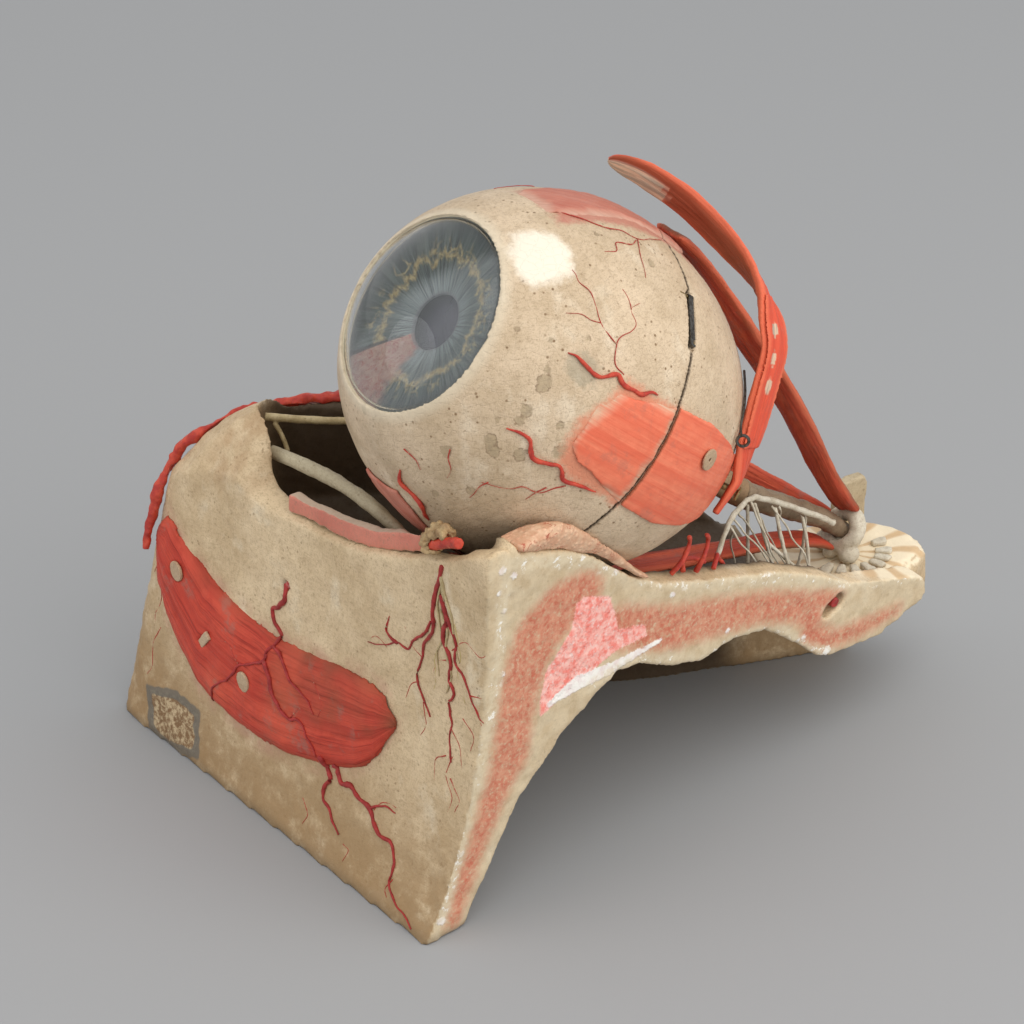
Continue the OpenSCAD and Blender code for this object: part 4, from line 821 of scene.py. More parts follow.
# ---- white coat of the globe, in its two halves
coat = {
    "voxel": 0.7, "lumps": [(26, 0.22), (7, 0.1), (2.5, 0.07)],
    "stains": [(4, 43, 2.4), (2, 43, 2.0), (19, 46, 1), (9, 44, 1.2), (-8, 43, 1.7), (-13, 43, 1.3),
               (-18, 47, 1), (-6, 33, 1.1), (-26, 44, 2.0), (-28, 42, 2.0), (-22, 36, 2.2), (-13, 28, 2.2),
               (19, 54, 0.8), (24, 37, 0.8), (59, 15, 1.4), (-11, 20, 1.3), (67, 33, 0.9), (-45, 48, 1.8),
               (-89, 58, 1.1), (-46, 35, 1.5), (-60, 37, 1.4)],
    "greyPatch": (14, 35, 4.8),
    "retouch": [(68, 55), (70, 50), (65, 45), (56, 42), (48, 43), (42, 48), (39, 53), (46, 56), (57, 57)],
    "sidePatch": [(17, -2), (16, 10), (17, 21), (8, 25), (-1, 29), (-9, 29), (-16, 26), (-18.5, 21),
                  (-17, 9), (-18, -2)],
}


def chart(clock, w):
    clock, w = np.asarray(clock, float), np.asarray(w, float)
    r = globeRadius * np.sqrt(np.maximum(1 - (w / globeHalf) ** 2, 0.04))
    return np.c_[np.radians(clock) * r, globeHalf * np.arcsin(np.clip(w / globeHalf, -1, 1)) * 0.92]


def chartList(points):
    return chart([p[0] for p in points], [p[1] for p in points])


def paintCoat(mesh):
    eye = toEye(vertsOf(mesh))
    clock = np.degrees(np.arctan2(eye[:, 1], eye[:, 0]))
    w, r = eye[:, 2], np.hypot(eye[:, 0], eye[:, 1])
    flat = chart(clock, w)
    note(mesh, "eye", eye)
    spots = [np.linalg.norm(eye - onGlobe(a, b), axis=1) - size for a, b, size in coat["stains"]]
    note(mesh, "stain", np.min(spots, axis=0))
    a, b, size = coat["greyPatch"]
    note(mesh, "greyPatch", np.linalg.norm(eye - onGlobe(a, b), axis=1) - size)
    note(mesh, "retouch", insideGap(flat, chartList(coat["retouch"])))
    note(mesh, "patchEdge", insideGap(flat, chartList(coat["sidePatch"])) - 0.5)
    top = np.maximum(np.abs(eye[:, 0] - 1.5) - 13.5, np.maximum(w - 42, -w - 14))
    note(mesh, "topEdge", np.where(eye[:, 1] > 0, top, 60))
    # darker towards the bottom of the globe
    note(mesh, "low", fade(-eye[:, 1], 22, 52) * 0.9)
    note(mesh, "seam", fade(np.abs(w + 1), 0.75, 0.3))
    note(mesh, "limbus", fade(r, 37, 33.6) * (w > 40))


coatPaint = scleraPaper()
for node, name in (("sclera_rear", "rearWhiteCoat"), ("sclera_front", "frontWhiteCoat")):
    softPiece(node, name, coatPaint, coat["voxel"], 2, coat["lumps"], 21, paintCoat)
print("white coat ready")

# ---- flat muscle ends painted on the globe
ends = {"voxel": 0.5, "lumps": [(5, 0.12), (1.6, 0.1)], "sink": 0.95}
sideRed = dict(light=(0.86, 0.25, 0.14), dark=(0.74, 0.15, 0.08), streak=(0.58, 0.08, 0.045), lines=0.3,
               under=(0.66, 0.33, 0.21), depth=0.2)
salmonRed = dict(light=(0.58, 0.24, 0.17), dark=(0.48, 0.15, 0.10), streak=(0.42, 0.07, 0.05), lines=0.35,
                 under=(0.64, 0.40, 0.30), depth=0.2)


def paintEnd(mesh):
    co = vertsOf(mesh)
    eye = toEye(co)
    clock = np.degrees(np.arctan2(eye[:, 1], eye[:, 0]))
    w = eye[:, 2]
    flat = chart(clock, w)
    note(mesh, "fibre", np.c_[flat[:, 1], flat[:, 0], eye[:, 0] * 0])
    side = np.abs(clock) < 40
    edge = -insideGap(flat, chartList(coat["sidePatch"]))
    edge = np.where(side & (w > -1), edge, 6)
    top = np.minimum(12 - np.abs(eye[:, 0]), 44 - w)
    edge = np.where((eye[:, 1] > 40) & (np.abs(eye[:, 0]) < 16), top, edge)
    edge = edge + lumps(unplaced(co), 4.0, 8) * 1.2 + lumps(unplaced(co), 1.5, 9) * 0.4
    n = unit(np.c_[eye[:, :2], eye[:, 2:] * (globeRadius / globeHalf) ** 2])
    eye = eye - n * (ends["sink"] * fade(edge, 4.0, 0.4))[:, None]
    setVerts(mesh, eyePlaced(eye))
    note(mesh, "worn", fade(edge, 5, 0.5) * 0.3)
    note(mesh, "bare", fade(edge, 4.5, 0.5) * 0.85)
    note(mesh, "bright", np.where(side, 0.15, 0.0))
    note(mesh, "shade", fade(np.abs(w + 1), 0.75, 0.3) * 0.85)


sidePaint = musclePaper("sideMuscleEndPaper", wear=(0.64, 0.52, 0.36), grey=0.3, **sideRed)
topPaint = musclePaper("upperMuscleEndPaper", wear=(0.55, 0.33, 0.24), grey=0.25, **salmonRed)
for node, name, paint in (("lateral_insertion_rear", "sideMuscleEndRear", sidePaint),
                          ("lateral_insertion_front", "sideMuscleEndFront", sidePaint),
                          ("rectus_insertions_rear", "otherMuscleEndsRear", topPaint),
                          ("rectus_insertions_front", "otherMuscleEndsFront", topPaint)):
    softPiece(node, name, paint, ends["voxel"], 2, ends["lumps"], 31, paintEnd)

# ---- swinging strap and the muscles that run to the apex
strapShape = {
    "rows": [onGlobe(-9, -52.8, 3.95), onGlobe(3, -53.3, 3.95), onGlobe(10, -53.2, 4.15), (41.6, 16.8, -52),
             (40.2, 27, -49.6), (38.4, 39, -46.3), (36.3, 48, -43.8), (32, 55, -40), (25, 62.6, -33.7),
             (15, 68.2, -24), (2.5, 72.4, -11.3), (-9, 73.3, 0.8), (-17.5, 71, 10)],
    "turns": [(0.69, 0, 0.72), (0.69, 0, 0.72), (0.6, -0.03, 0.8), (0.37, -0.08, 0.92), (0.26, -0.12, 0.96),
              (0.25, -0.14, 0.96), (0.28, -0.24, 0.93), (0.42, -0.31, 0.85), (0.75, 0.11, 0.66),
              (0.71, 0.53, 0.46), (0.6, 0.66, 0.45), (0.5, 0.69, 0.52), (0.44, 0.68, 0.59)],
    "bareFrom": 0.86,
    "chips": [(0.40, 1.5, 2.2), (0.47, 2.4, 2.6), (0.55, 2.0, 2.6), (0.80, -3.0, 1.8), (0.72, -4.0, 1.6)],
}
muscles = {
    "superior_rectus": ("upperMuscleBand", [(-2, 61.9, -14.5), (-2.3, 60.6, -24), (-3, 55.5, -43), (-3, 48.5, -64),
                        (-3, 39, -93), (-3.5, 30, -117), (-5.5, 20.5, -141), (-6.6, 15.4, -156), (-7, 13.4, -164)],
                        (1, 0, 0), (0.9, 0.39, -0.19)),
    "inferior_rectus": ("lowerMuscleBand", [(0, -63.4, -10), (0, -61.4, -24), (0, -54.5, -46), (-1, -42, -75),
                        (-3, -25, -108), (-5.4, -10, -136), (-6.6, -2.6, -155), (-7, -1.2, -164)],
                        (-1, 0, 0), (-1, 0, 0)),
    "medial_rectus": ("innerMuscleBand", [(-63.4, 0, -14), (-61, 0.3, -26), (-54.5, 1, -46), (-42, 2, -75),
                      (-30, 3.5, -106), (-20.5, 5, -136), (-15.4, 5.8, -155), (-14.2, 6, -164)],
                      (0, 1, 0), (0, 1, 0)),
}


def fibreRidges(mesh, t, s, deep, seed=2):
    co, n = vertsOf(mesh), normalsOf(mesh)
    strand = lumps(np.c_[t / 14, s / 1.1, s * 0], 1.0, seed) * 0.6 + lumps(np.c_[t / 26, s / 2.6, s * 0], 1.0, seed + 1)
    setVerts(mesh, np.clip(co + n * (strand * deep / 1000)[:, None], boxLow, boxHigh))


def paintStrap(mesh):
    t, s, side, part = alongBand(toEye(vertsOf(mesh)), strapShape["rows"], strapShape["turns"])
    note(mesh, "fibre", np.c_[t, s, side])
    end = np.clip((t - t.max() + 6) / 6, 0, 1)  # the tip is rounded off
    wide = unit(np.array(strapShape["turns"][-1]))
    squeeze = (1 - np.sqrt(np.maximum(1 - end * end, 0.05))) * s * (part > 0.9)
    setVerts(mesh, eyePlaced(toEye(vertsOf(mesh)) - squeeze[:, None] * wide))
    fibreRidges(mesh, t, s, 0.3)
    outer = fade(side, -0.6, 0.9)
    wave = lumps(np.c_[t / 3, s / 1.5, s * 0], 1.0, 6)
    tip = fade(part + wave * 0.01, strapShape["bareFrom"], strapShape["bareFrom"] + 0.02) * fade(s, 2.6, 1.2)
    # painted shade on the inner face, painted highlight along the edges and on the outer face
    note(mesh, "shade", fade(side, 0.9, -0.4) * 0.75 * (1 - tip))
    note(mesh, "bright", fade(np.abs(s), 3.6, 5.6) * 0.8 + outer * 0.35)
    chips = [fade(np.hypot((part - a) * 110, (s - b) * 1.6) + wave * 0.6, size, size - 0.5)
             for a, b, size in strapShape["chips"]]
    note(mesh, "bare", np.maximum(tip * fade(side, 0.9, -0.2), np.max(chips, axis=0) * outer))
    note(mesh, "worn", fade(np.abs(s), 4.8, 6.6) * 0.3 + fade(part, 0.93, 1.0) * 0.4)


def paintBand(points, turn0, turn1):
    turns = [unit(np.array(turn0) * (1 - k / (len(points) - 1)) + np.array(turn1) * k / (len(points) - 1))
             for k in range(len(points))]

    def paint(mesh):
        t, s, side, part = alongBand(toEye(vertsOf(mesh)), points, turns)
        note(mesh, "fibre", np.c_[t, s, side])
        fibreRidges(mesh, t, s, 0.35, 12)
        # painted shade on the inner face, painted highlight along the edges
        note(mesh, "shade", fade(side, 1.0, -0.6) * 0.85)
        note(mesh, "bright", fade(np.abs(s), 4.2, 6.2) * 0.9)
        note(mesh, "worn", fade(np.abs(s), 5.4, 7.2) * 0.5 + fade(part, 0.04, 0.0) * 0.3)
    return paint


strapPaint = musclePaper("strapPaper", (0.80, 0.10, 0.052), (0.64, 0.06, 0.032), (0.36, 0.035, 0.018),
                         wear=(0.72, 0.52, 0.36), grey=0.2, depth=0.5, under=(0.40, 0.34, 0.26))
bandPaint = musclePaper("muscleBandPaper", (0.66, 0.125, 0.06), (0.46, 0.06, 0.03), (0.25, 0.03, 0.015),
                        wear=(0.55, 0.42, 0.28), grey=0.35, depth=0.5)
softPiece("lateral_rectus_strap", "outerMuscleStrap", strapPaint, 0.5, 3, [(4, 0.18)], 41, paintStrap)


def layOnStrap(mesh):
    eye = toEye(vertsOf(mesh))
    line, wide = smoothLine(strapShape["rows"], 8), smoothLine(strapShape["turns"], 8)
    along = unit(np.gradient(line, axis=0))
    near = np.array([int(((line - p) ** 2).sum(axis=1).argmin()) for p in eye])
    setVerts(mesh, eyePlaced(eye - unit(np.cross(along, wide))[near] * 0.85))
    paintStrap(mesh)


softPiece("strap_sleeve", "strapPaperSleeve", strapPaint, 0.4, 2, [(3, 0.15)], 42, layOnStrap)
for node, (name, points, turn0, turn1) in muscles.items():
    softPiece(node, name, bandPaint, 0.6, 3, [(6, 0.25)], 43, paintBand(points, turn0, turn1))
print("muscles ready")


# ---- muscle on the cheek, with its paper tags and the vessels laid over it
def paintCheekMuscle(mesh):
    mm = unplaced(vertsOf(mesh))
    x, z = mm[:, 0], mm[:, 2]
    low, high = (np.interp(x, *np.array(q).T) for q in (muscleLow, muscleHigh))
    q = (2 * z - low - high) / np.maximum(high - low, 1)
    s = q * 17
    note(mesh, "fibre", np.c_[x, s, s * 0])
    ends = np.maximum(fade(x, 10, 14), fade(x, -111, -114.5))
    low = np.maximum(fade(np.abs(q), 0.8, 1.0), ends)
    co = vertsOf(mesh)
    co[:, 1] += low * 0.00055
    setVerts(mesh, co)
    fibreRidges(mesh, x, s, 0.22, 22)
    veil = fade(x, -52, -38) * fade(q, -0.35, 0.05) * (0.5 + 0.5 * lumps(mm, 6, 15))
    note(mesh, "shade", low * 0.25 + fade(lumps(mm, 14, 5), 0.3, 0.9) * 0.2 + veil * 0.55)
    note(mesh, "worn", low * 0.2)
    note(mesh, "bright", fade(lumps(mm, 18, 7), 0.1, 0.7) * 0.25)


cheekRed = musclePaper("cheekMusclePaper", (0.62, 0.085, 0.048), (0.46, 0.046, 0.028), (0.24, 0.024, 0.016),
                       wear=(0.55, 0.44, 0.3), grey=0.45, depth=0.35)
softPiece("cheek_muscle", "cheekMuscle", cheekRed, 0.6, 5, [(9, 0.4), (3.5, 0.25)], 51, paintCheekMuscle)
muscleTree = treeOf(bpy.data.objects["cheekMuscle"].data)
tagPaper = facedPaper("paperTags", (0.56, 0.42, 0.27), (0.42, 0.28, 0.17), (0.2, 0.1, 0.06))
softPiece("cheek_muscle_labels", "cheekPaperTags", tagPaper, 0.28, 2, [(1.6, 0.08)], 52)
softPiece("insertion_label", "globePaperTag", tagPaper, 0.25, 2, [(1.6, 0.06)], 53)

# ---- cords, vessels and nerves
reds = {"dark": ((0.42, 0.035, 0.03), (0.27, 0.02, 0.018)), "bright": ((0.58, 0.07, 0.035), (0.40, 0.03, 0.02))}
arteryPaint = cordPaint("varnishedArteryCord", *reds["dark"])
brightArtery = cordPaint("brightArteryCord", *reds["bright"])
nervePaint = cordPaint("yellowedNerveCord", (0.56, 0.45, 0.25), (0.42, 0.32, 0.16), darkening=0.5)
paleNerve = cordPaint("paleNerveCord", (0.62, 0.56, 0.45), (0.48, 0.41, 0.30), darkening=0.5)
darkNerve = facedPaper("darkNervePaper", (0.30, 0.22, 0.14), (0.18, 0.12, 0.075), (0.09, 0.06, 0.035), 0.45)
cords = [
    ("facial_artery", "facialArtery", brightArtery, 0.5, [(4.2, 0.9), (1.8, 0.45)]),
    ("tuft_artery", "tuftArteryStub", brightArtery, 0.4, [(2.0, 0.25)]),
    ("carotid_artery", "cutCarotid", arteryPaint, 0.35, [(1.6, 0.2)]),
    ("orbital_vessels", "orbitVessels", brightArtery, 0.36, [(2.0, 0.2)]),
    ("nasal_nerves", "nasalNerves", nervePaint, 0.4, [(3.0, 0.2)]),
    ("frontal_nerve", "frontalNerve", paleNerve, 0.4, [(3.0, 0.25)]),
    ("ciliary_nerves", "ciliaryThreads", paleNerve, 0.28, [(1.8, 0.12)]),
    ("optic_nerve", "opticNerve", darkNerve, 0.6, [(5, 0.4), (1.8, 0.2)]),
]



def thinner(mesh):
    setVerts(mesh, vertsOf(mesh) - normalsOf(mesh) * 0.0006)


for node, name, paint, voxel, layers in cords:
    softPiece(node, name, paint, voxel, 3, layers, 61, thinner if node == "frontal_nerve" else None)
print("cords ready")


# ---- crumbly fat, bars and the ring at the apex
def fatPaint(name, light, dark, vein):
    p = Paint(name, 0.45)
    crumbs = p.cells(1.7).span(0.1, 0.6)
    colour = p.blend(p.noise(4, 4, 0.7).span(0.35, 0.65), light, dark)
    # painted shade in the creases between the crumbs, where the bump sinks
    colour = p.blend(crumbs * 0.3, colour, (0.36, 0.20, 0.10))
    web = p.noise(6.5, 3, 0.6, twist=1.2)
    lines = (web - 0.5).absolute().span(0.022, 0.006) * p.noise(9, 2).span(0.45, 0.6)
    colour = p.blend(lines * vein, colour, (0.40, 0.04, 0.02))
    return p.finish(colour, 0.55, p.bump(crumbs * -0.6 + p.noise(0.8, 3) * 0.5, 0.5, 0.8))


def shadeTop(mesh):
    n = normalsOf(mesh)
    note(mesh, "top", fade(n[:, 2] + n[:, 1] * 0.7, 0.45, 0.8) + fade(-n[:, 2], 0.3, 0.8))


softPiece("fat_tuft", "fatTuft", fatPaint("crumblyFat", (0.50, 0.36, 0.18), (0.24, 0.15, 0.07), 0.0), 0.4, 1,
          [(2.4, 1.3), (1.1, 0.7)], 71)
softPiece("fat_pad", "fatPad", fatPaint("veinedFat", (0.84, 0.56, 0.37), (0.74, 0.40, 0.25), 0.9), 0.7, 4,
          [(7, 0.5), (2.5, 0.15)], 72)
rimPaper = facedPaper("rimBarPaper", (0.66, 0.235, 0.165), (0.55, 0.17, 0.12), (0.3, 0.19, 0.13))
softPiece("rim_bar", "orbitRimBar", rimPaper, 0.6, 3, [(8, 0.4), (2.5, 0.2)], 73, shadeTop)
softPiece("inferior_oblique_rod", "obliqueRod", facedPaper("obliqueRodPaper", (0.50, 0.43, 0.29), (0.38, 0.31, 0.2),
          (0.2, 0.14, 0.08), 0.45), 0.55, 3, [(7, 0.35), (2.2, 0.15)], 74)
ringPaper = facedPaper("ringPaper", (0.66, 0.60, 0.48), (0.50, 0.42, 0.30), (0.27, 0.18, 0.10))
softPiece("tendon_ring", "tendonRing", ringPaper, 0.6, 3, [(5, 0.5), (2, 0.25)], 75)
softPiece("ganglion_fan", "nerveFan", ringPaper, 0.45, 9, [(2.5, 0.3)], 76)
tabPaper = facedPaper("apexTabPaper", (0.52, 0.42, 0.27), (0.4, 0.3, 0.18), (0.2, 0.13, 0.07))
softPiece("apex_tab", "apexPaperTab", tabPaper, 0.5, 2, [(6, 0.3), (2, 0.12)], 77)
peg = facedPaper("pegWood", (0.34, 0.22, 0.12), (0.24, 0.14, 0.07), (0.1, 0.06, 0.03), 0.5)
for node, name in (("optic_socket", "pegSocket"), ("optic_stub", "globePeg")):
    softPiece(node, name, peg, 0.35, 2, [(4, 0.04)], 78)
brass = metalPaint("wornBrass", (0.55, 0.40, 0.18), (0.22, 0.16, 0.09), 0.35)
iron = metalPaint("tarnishedIron", (0.22, 0.21, 0.19), (0.09, 0.075, 0.06), 0.45)
for node, name, metal, voxel in (("strap_nail", "strapNail", brass, 0.22), ("catch_stud", "catchStud", brass, 0.12),
                                 ("catch_pin", "catchPin", brass, 0.14), ("seam_catch", "seamCatch", iron, 0.2),
                                 ("strap_eyelet", "curledEyelet", iron, 0.2), ("strap_hook", "strapWire", iron, 0.2)):
    softPiece(node, name, metal, voxel, 1)
print("small pieces ready")


# ---- iris, glass dome, lens and the inner coats
def lathe(profile, clocks=180):
    profile = np.asarray(profile, float)
    turn = np.arange(clocks) * 2 * math.pi / clocks
    verts = [[r * math.cos(a), r * math.sin(a), w] for r, w in profile for a in turn]
    faces = [(i * clocks + j, i * clocks + (j + 1) % clocks, (i + 1) * clocks + (j + 1) % clocks, (i + 1) * clocks + j)
             for i in range(len(profile) - 1) for j in range(clocks)]
    return np.array(verts), faces


iris = {"pupil": 9.3, "rim": 32.2, "front": [(9.3, 51.2), (15, 52.9), (22, 54.35), (32.2, 55.6)], "wall": 0.9}


def makeIris():
    rs = np.linspace(iris["pupil"], iris["rim"], 70)
    ws = np.interp(rs, *np.array(iris["front"]).T)
    front = list(zip(rs, ws))
    back = [(iris["rim"], 52.6), (iris["rim"] - 2, 52.6), (iris["rim"] - 2.2, 54.0), (22, 53.4), (iris["pupil"], 50.4)]
    verts, faces = lathe([back[-1]] + front + back, 720)
    r, a = np.hypot(verts[:, 0], verts[:, 1]), np.arctan2(verts[:, 1], verts[:, 0])
    ridge = (lumps(np.c_[np.cos(a) * 30, np.sin(a) * 30, r * 0.06], 1.0, 5) * 0.12
             + lumps(np.c_[verts[:, :2] / 4, r * 0], 1.0, 6) * 0.1)
    verts[:, 2] -= np.abs(ridge) * fade(r, 9.3, 12)
    mesh = newMesh("paintedIris", eyePlaced(verts), [f[::-1] for f in faces])
    note(mesh, "eye", verts)
    showPiece(mesh, "paintedIrisDisc", bodyOf["iris"], irisPaint(), ("iris",))


dome = {"radius": 32.45, "plane": 57.9, "rise": 12, "wall": 1.6, "paintedGlare": 0.085}


def makeDome():
    r, h = dome["radius"], dome["rise"]
    big = (r * r + h * h) / (2 * h)
    middle = dome["plane"] + h - big
    a, b = math.asin(r / big), math.asin((r - dome["wall"]) / (big - dome["wall"]))
    outer = [(max(big * math.sin(a * k), 0.02), middle + big * math.cos(a * k)) for k in np.linspace(0, 1, 44)]
    inner = [(max((big - dome["wall"]) * math.sin(b * k), 0.02), middle + (big - dome["wall"]) * math.cos(b * k))
             for k in np.linspace(1, 0, 40)]
    verts, faces = lathe(outer + [(r, dome["plane"] - 1.6), (r - dome["wall"], dome["plane"] - 1.6)] + inner, 160)
    mesh = newMesh("glassDome", eyePlaced(verts), [f[::-1] for f in faces])
    outside = np.arange(len(verts)) < 45 * 160
    # painted reflection of the lamp on the lower side of the dome
    note(mesh, "paintedGlare", fade(0.88 * verts[:, 0] - 0.47 * verts[:, 1], -3, 4) * dome["paintedGlare"] * outside)
    blown = glassPaint("blownGlass", (0.97, 0.98, 0.97), withPaintedGlare=True)
    showPiece(mesh, "glassCornea", bodyOf["cornea"], blown, ("cornea",))


makeIris()
makeDome()


def smokyLens():
    p = Paint("smokyLens", 0.5)
    p.shader.inputs["Transmission Weight"].default_value = 0.35
    p.shader.inputs["IOR"].default_value = 1.4
    return p.finish(p.blend(p.noise(12, 3).span(0.3, 0.7), (0.085, 0.075, 0.105), (0.06, 0.055, 0.08)), 0.22)


softPiece("crystalline_lens", "smokyGlassLens", smokyLens(), 0.6, 6)
softPiece("vitreous_body", "glassVitreous", glassPaint("clearGlass", (0.93, 0.96, 0.95), 0.05), 0.8, 6)
innerCoats = {
    "retina": ("retinaShell", "retinaPaper", 0.9, (0.55, 0.36, 0.22), (0.46, 0.26, 0.15), (0.28, 0.08, 0.05)),
    "choroid_rear": ("rearVesselCoat", "choroidPaper", 0.9, (0.23, 0.11, 0.07), (0.14, 0.06, 0.04),
                     (0.06, 0.02, 0.02)),
    "ciliary_ring": ("ciliaryRing", "ciliaryPaper", 0.6, (0.20, 0.13, 0.09), (0.12, 0.07, 0.05),
                     (0.05, 0.03, 0.02)),
}
innerPaints = {node: facedPaper(*row[1:2], *row[3:]) for node, row in innerCoats.items()}
for node, paint in (("retina", "retina"), ("choroid_rear", "choroid_rear"), ("choroid_front", "choroid_rear"),
                    ("ciliary_ring", "ciliary_ring")):
    name = innerCoats[node][0] if node in innerCoats else "frontVesselCoat"
    softPiece(node, name, innerPaints[paint], innerCoats[paint][2], 2, [(9, 0.1)], 81)
print("iris and inner coats ready")


# ---- fine painted hairs of vessel on the globe and the cheek
globeHairs = {
    "radius": 0.26,
    "red": [[(18, 23), (20, 27), (26, 28), (29, 27), (32, 24), (35, 23), (39, 25), (42, 22)],
            [(26, 28), (28, 31), (31, 34), (36, 36), (41, 38), (44, 41), (47, 42), (49, 43)],
            [(31, 34), (31, 37), (32, 40), (31, 44)], [(39, 25), (42, 26), (45, 28)],
            [(69, 17), (62, 19), (56, 19), (52, 19)], [(68, 18), (65, 21), (64, 27), (60, 28), (59, 32)],
            [(79, 40), (75, 35), (71, 28), (71, 22), (69, 17), (72, 9), (75, 3)],
            [(-21, 19), (-24, 21), (-28, 23), (-30, 28), (-34, 30), (-37, 33), (-40, 36)],
            [(-25, 23), (-29, 24), (-33, 24)], [(-42, 48), (-45, 46), (-47, 43), (-51, 41)],
            [(-64, 51), (-60, 48), (-60, 45)], [(-38, 35), (-42, 35), (-48, 33)],
            [(110, 18), (114, 24), (112, 30), (118, 36), (116, 41)], [(150, 12), (156, 19), (154, 26), (160, 31)],
            [(-120, 14), (-124, 22), (-121, 30), (-127, 36)], [(-150, 20), (-146, 27), (-149, 34)]],
}
cheekHairs = {
    "radius": 0.3,
    "red": [[(10, 28), (13, 32), (19, 33)], [(26, 11), (24, 7), (26, 5)], [(0, 11), (3, 10), (2, 6)],
            [(-24, 16), (-20, 12), (-21, 8)],
            [(24, 90), (19, 92), (15, 98)], [(7, 86), (2, 88), (-2, 84)], [(7, 92), (8, 98)],
            [(23, 81), (19, 78), (17, 72)], [(25, 74), (27, 67), (25, 62)], [(39, 72), (44, 67), (46, 60)],
            [(41, 62), (39, 54), (43, 48), (42, 42)], [(41, 54), (46, 49), (45, 44)], [(38, 61), (33, 57), (34, 50)],
            [(48, 88), (54, 89), (58, 86)], [(48, 88), (52, 82), (53, 77)], [(45, 78), (50, 74), (49, 68)],
            [(39, 100), (45, 106), (52, 104), (56, 107)], [(36, 95), (31, 92), (29, 86)],
            [(-113, 73), (-112, 66), (-114, 60)], [(-110, 59), (-108, 52), (-111, 45), (-109, 39)],
            [(-107, 42), (-111, 34), (-110, 26), (-113, 21)], [(-60, 50), (-66, 55), (-72, 54)],
            [(-32, 43), (-28, 48), (-21, 47)], [(-23, 60), (-17, 55), (-18, 50)]],
    "yellow": [[(40, 110), (43, 100), (42, 92), (46, 84)], [(33, 100), (30, 92), (31, 84), (28, 79)]],
}
hairPaints = {"red": hairPaint("wornHairVessels", (0.42, 0.045, 0.03), (0.50, 0.30, 0.19)),
              "yellow": hairPaint("wornHairNerves", (0.52, 0.40, 0.16), (0.50, 0.40, 0.26))}


def sway(mm, size, seeds):
    return np.stack([lumps(mm, size, seed) for seed in seeds], axis=1)


def hairTubes(lines, place, radius, paint, name, body):
    parts = []
    for i, line in enumerate(lines):
        path = place(smoothLine(line, 5))
        if len(path) < 3:
            continue
        path = path + sway(path * 1000, 3, (i, i + 40, i + 80)) * 0.0002
        k = np.linspace(0, 1, len(path))
        parts.append(tube(path, radius * (1 - 0.55 * k) * (0.8 + 0.25 * lumps(path * 1000, 4, i)) / 1000, 6))
    mesh = newMesh(name, *joined(parts))
    showPiece(mesh, name, body, paint)


def onCoat(line):
    return eyePlaced([onGlobe(a, w, 0.2) for a, w in line])


def onCheek(line):
    found = []
    for x, z in line:
        start = Vector(placed([[x, -260, z]])[0])
        hits = [tree.ray_cast(start, Vector((0, 1, 0))) for tree in (castTree, muscleTree)]
        hits = [hit for hit in hits if hit[0]]
        if hits:
            p = min(hits, key=lambda h: h[3])[0]
            found.append([p.x, p.y + 0.00005, p.z])
    return np.array(found)


hairTubes(globeHairs["red"], onCoat, globeHairs["radius"], hairPaints["red"], "globeHairVessels", "eye_front")
hairTubes(cheekHairs["red"], onCheek, cheekHairs["radius"], hairPaints["red"], "cheekHairVessels", "base")
hairTubes(cheekHairs["yellow"], onCheek, cheekHairs["radius"], hairPaints["yellow"], "cheekHairNerves", "base")
cheekCords = {
    "cheek_artery": ("cheekArtery", arteryPaint, 1.15, [
        [(-46, 85), (-44, 81), (-47, 77), (-50, 74), (-49, 70), (-45, 67), (-46, 63), (-48, 60), (-48, 57), (-54, 53),
         (-60, 50), (-63, 45), (-67, 41), (-72, 36), (-76, 28)],
        [(-48, 57), (-44, 52), (-42, 48), (-38, 45), (-32, 43), (-27, 44), (-23, 41), (-18, 35)],
        [(-16, 36), (-15, 32), (-12, 29), (-14, 25), (-14, 21), (-10, 19), (-6, 15), (-3, 13)],
        [(-11, 35), (-7, 30), (-2, 31), (2, 29), (8, 28), (11, 25), (15, 22), (21, 21), (24, 17), (25, 12), (26, 8),
         (32, 5), (36, 4), (41, 2)],
        [(8, 28), (13, 31), (19, 31)], [(-46, 63), (-40, 61), (-34, 56), (-26, 54), (-20, 50)]]),
    "malar_vessels": ("malarVessels", arteryPaint, 1.0, [
        [(35, 129), (32, 120), (30, 110), (30, 103), (26, 97), (24, 90), (22, 83), (25, 76), (29, 71)],
        [(29, 106), (25, 99), (20, 95), (17, 90), (12, 90), (7, 87), (-2, 84)],
        [(34, 118), (36, 110), (35, 102), (39, 96), (38, 90), (41, 85), (38, 80), (40, 74), (39, 68), (41, 60)],
        [(36, 112), (41, 104), (41, 97), (46, 92), (49, 87), (53, 80)], [(12, 90), (7, 92), (8, 98)]]),
    "malar_nerves": ("malarNerves", nervePaint, 0.85, [
        [(33, 127), (35, 118), (34, 112), (37, 106), (36, 99), (39, 91), (37, 84)],
        [(34, 122), (32, 112), (34, 102), (32, 96), (33, 88)], [(35, 120), (39, 112), (40, 104), (43, 97)]]),
}
cordShape = {"sway": np.array([0.0005, 0.00015, 0.0005]), "swaySize": 2.6, "lift": 0.0003, "knotSize": 1.8,
             "taper": 0.72}
globeCords = [
    [(17, 41), (17, 38), (15, 34), (14, 31), (15, 28), (17, 25), (15, 22), (15, 18), (15, 15), (17, 12), (17, 9.5)],
    [(-18, 44), (-16, 41), (-16, 37), (-20, 33), (-18, 28), (-17, 25), (-20, 21), (-18, 15), (-17, 9.6)],
    [(-71, 45), (-74, 41), (-72, 37), (-70, 33), (-72, 28), (-73, 25)]]
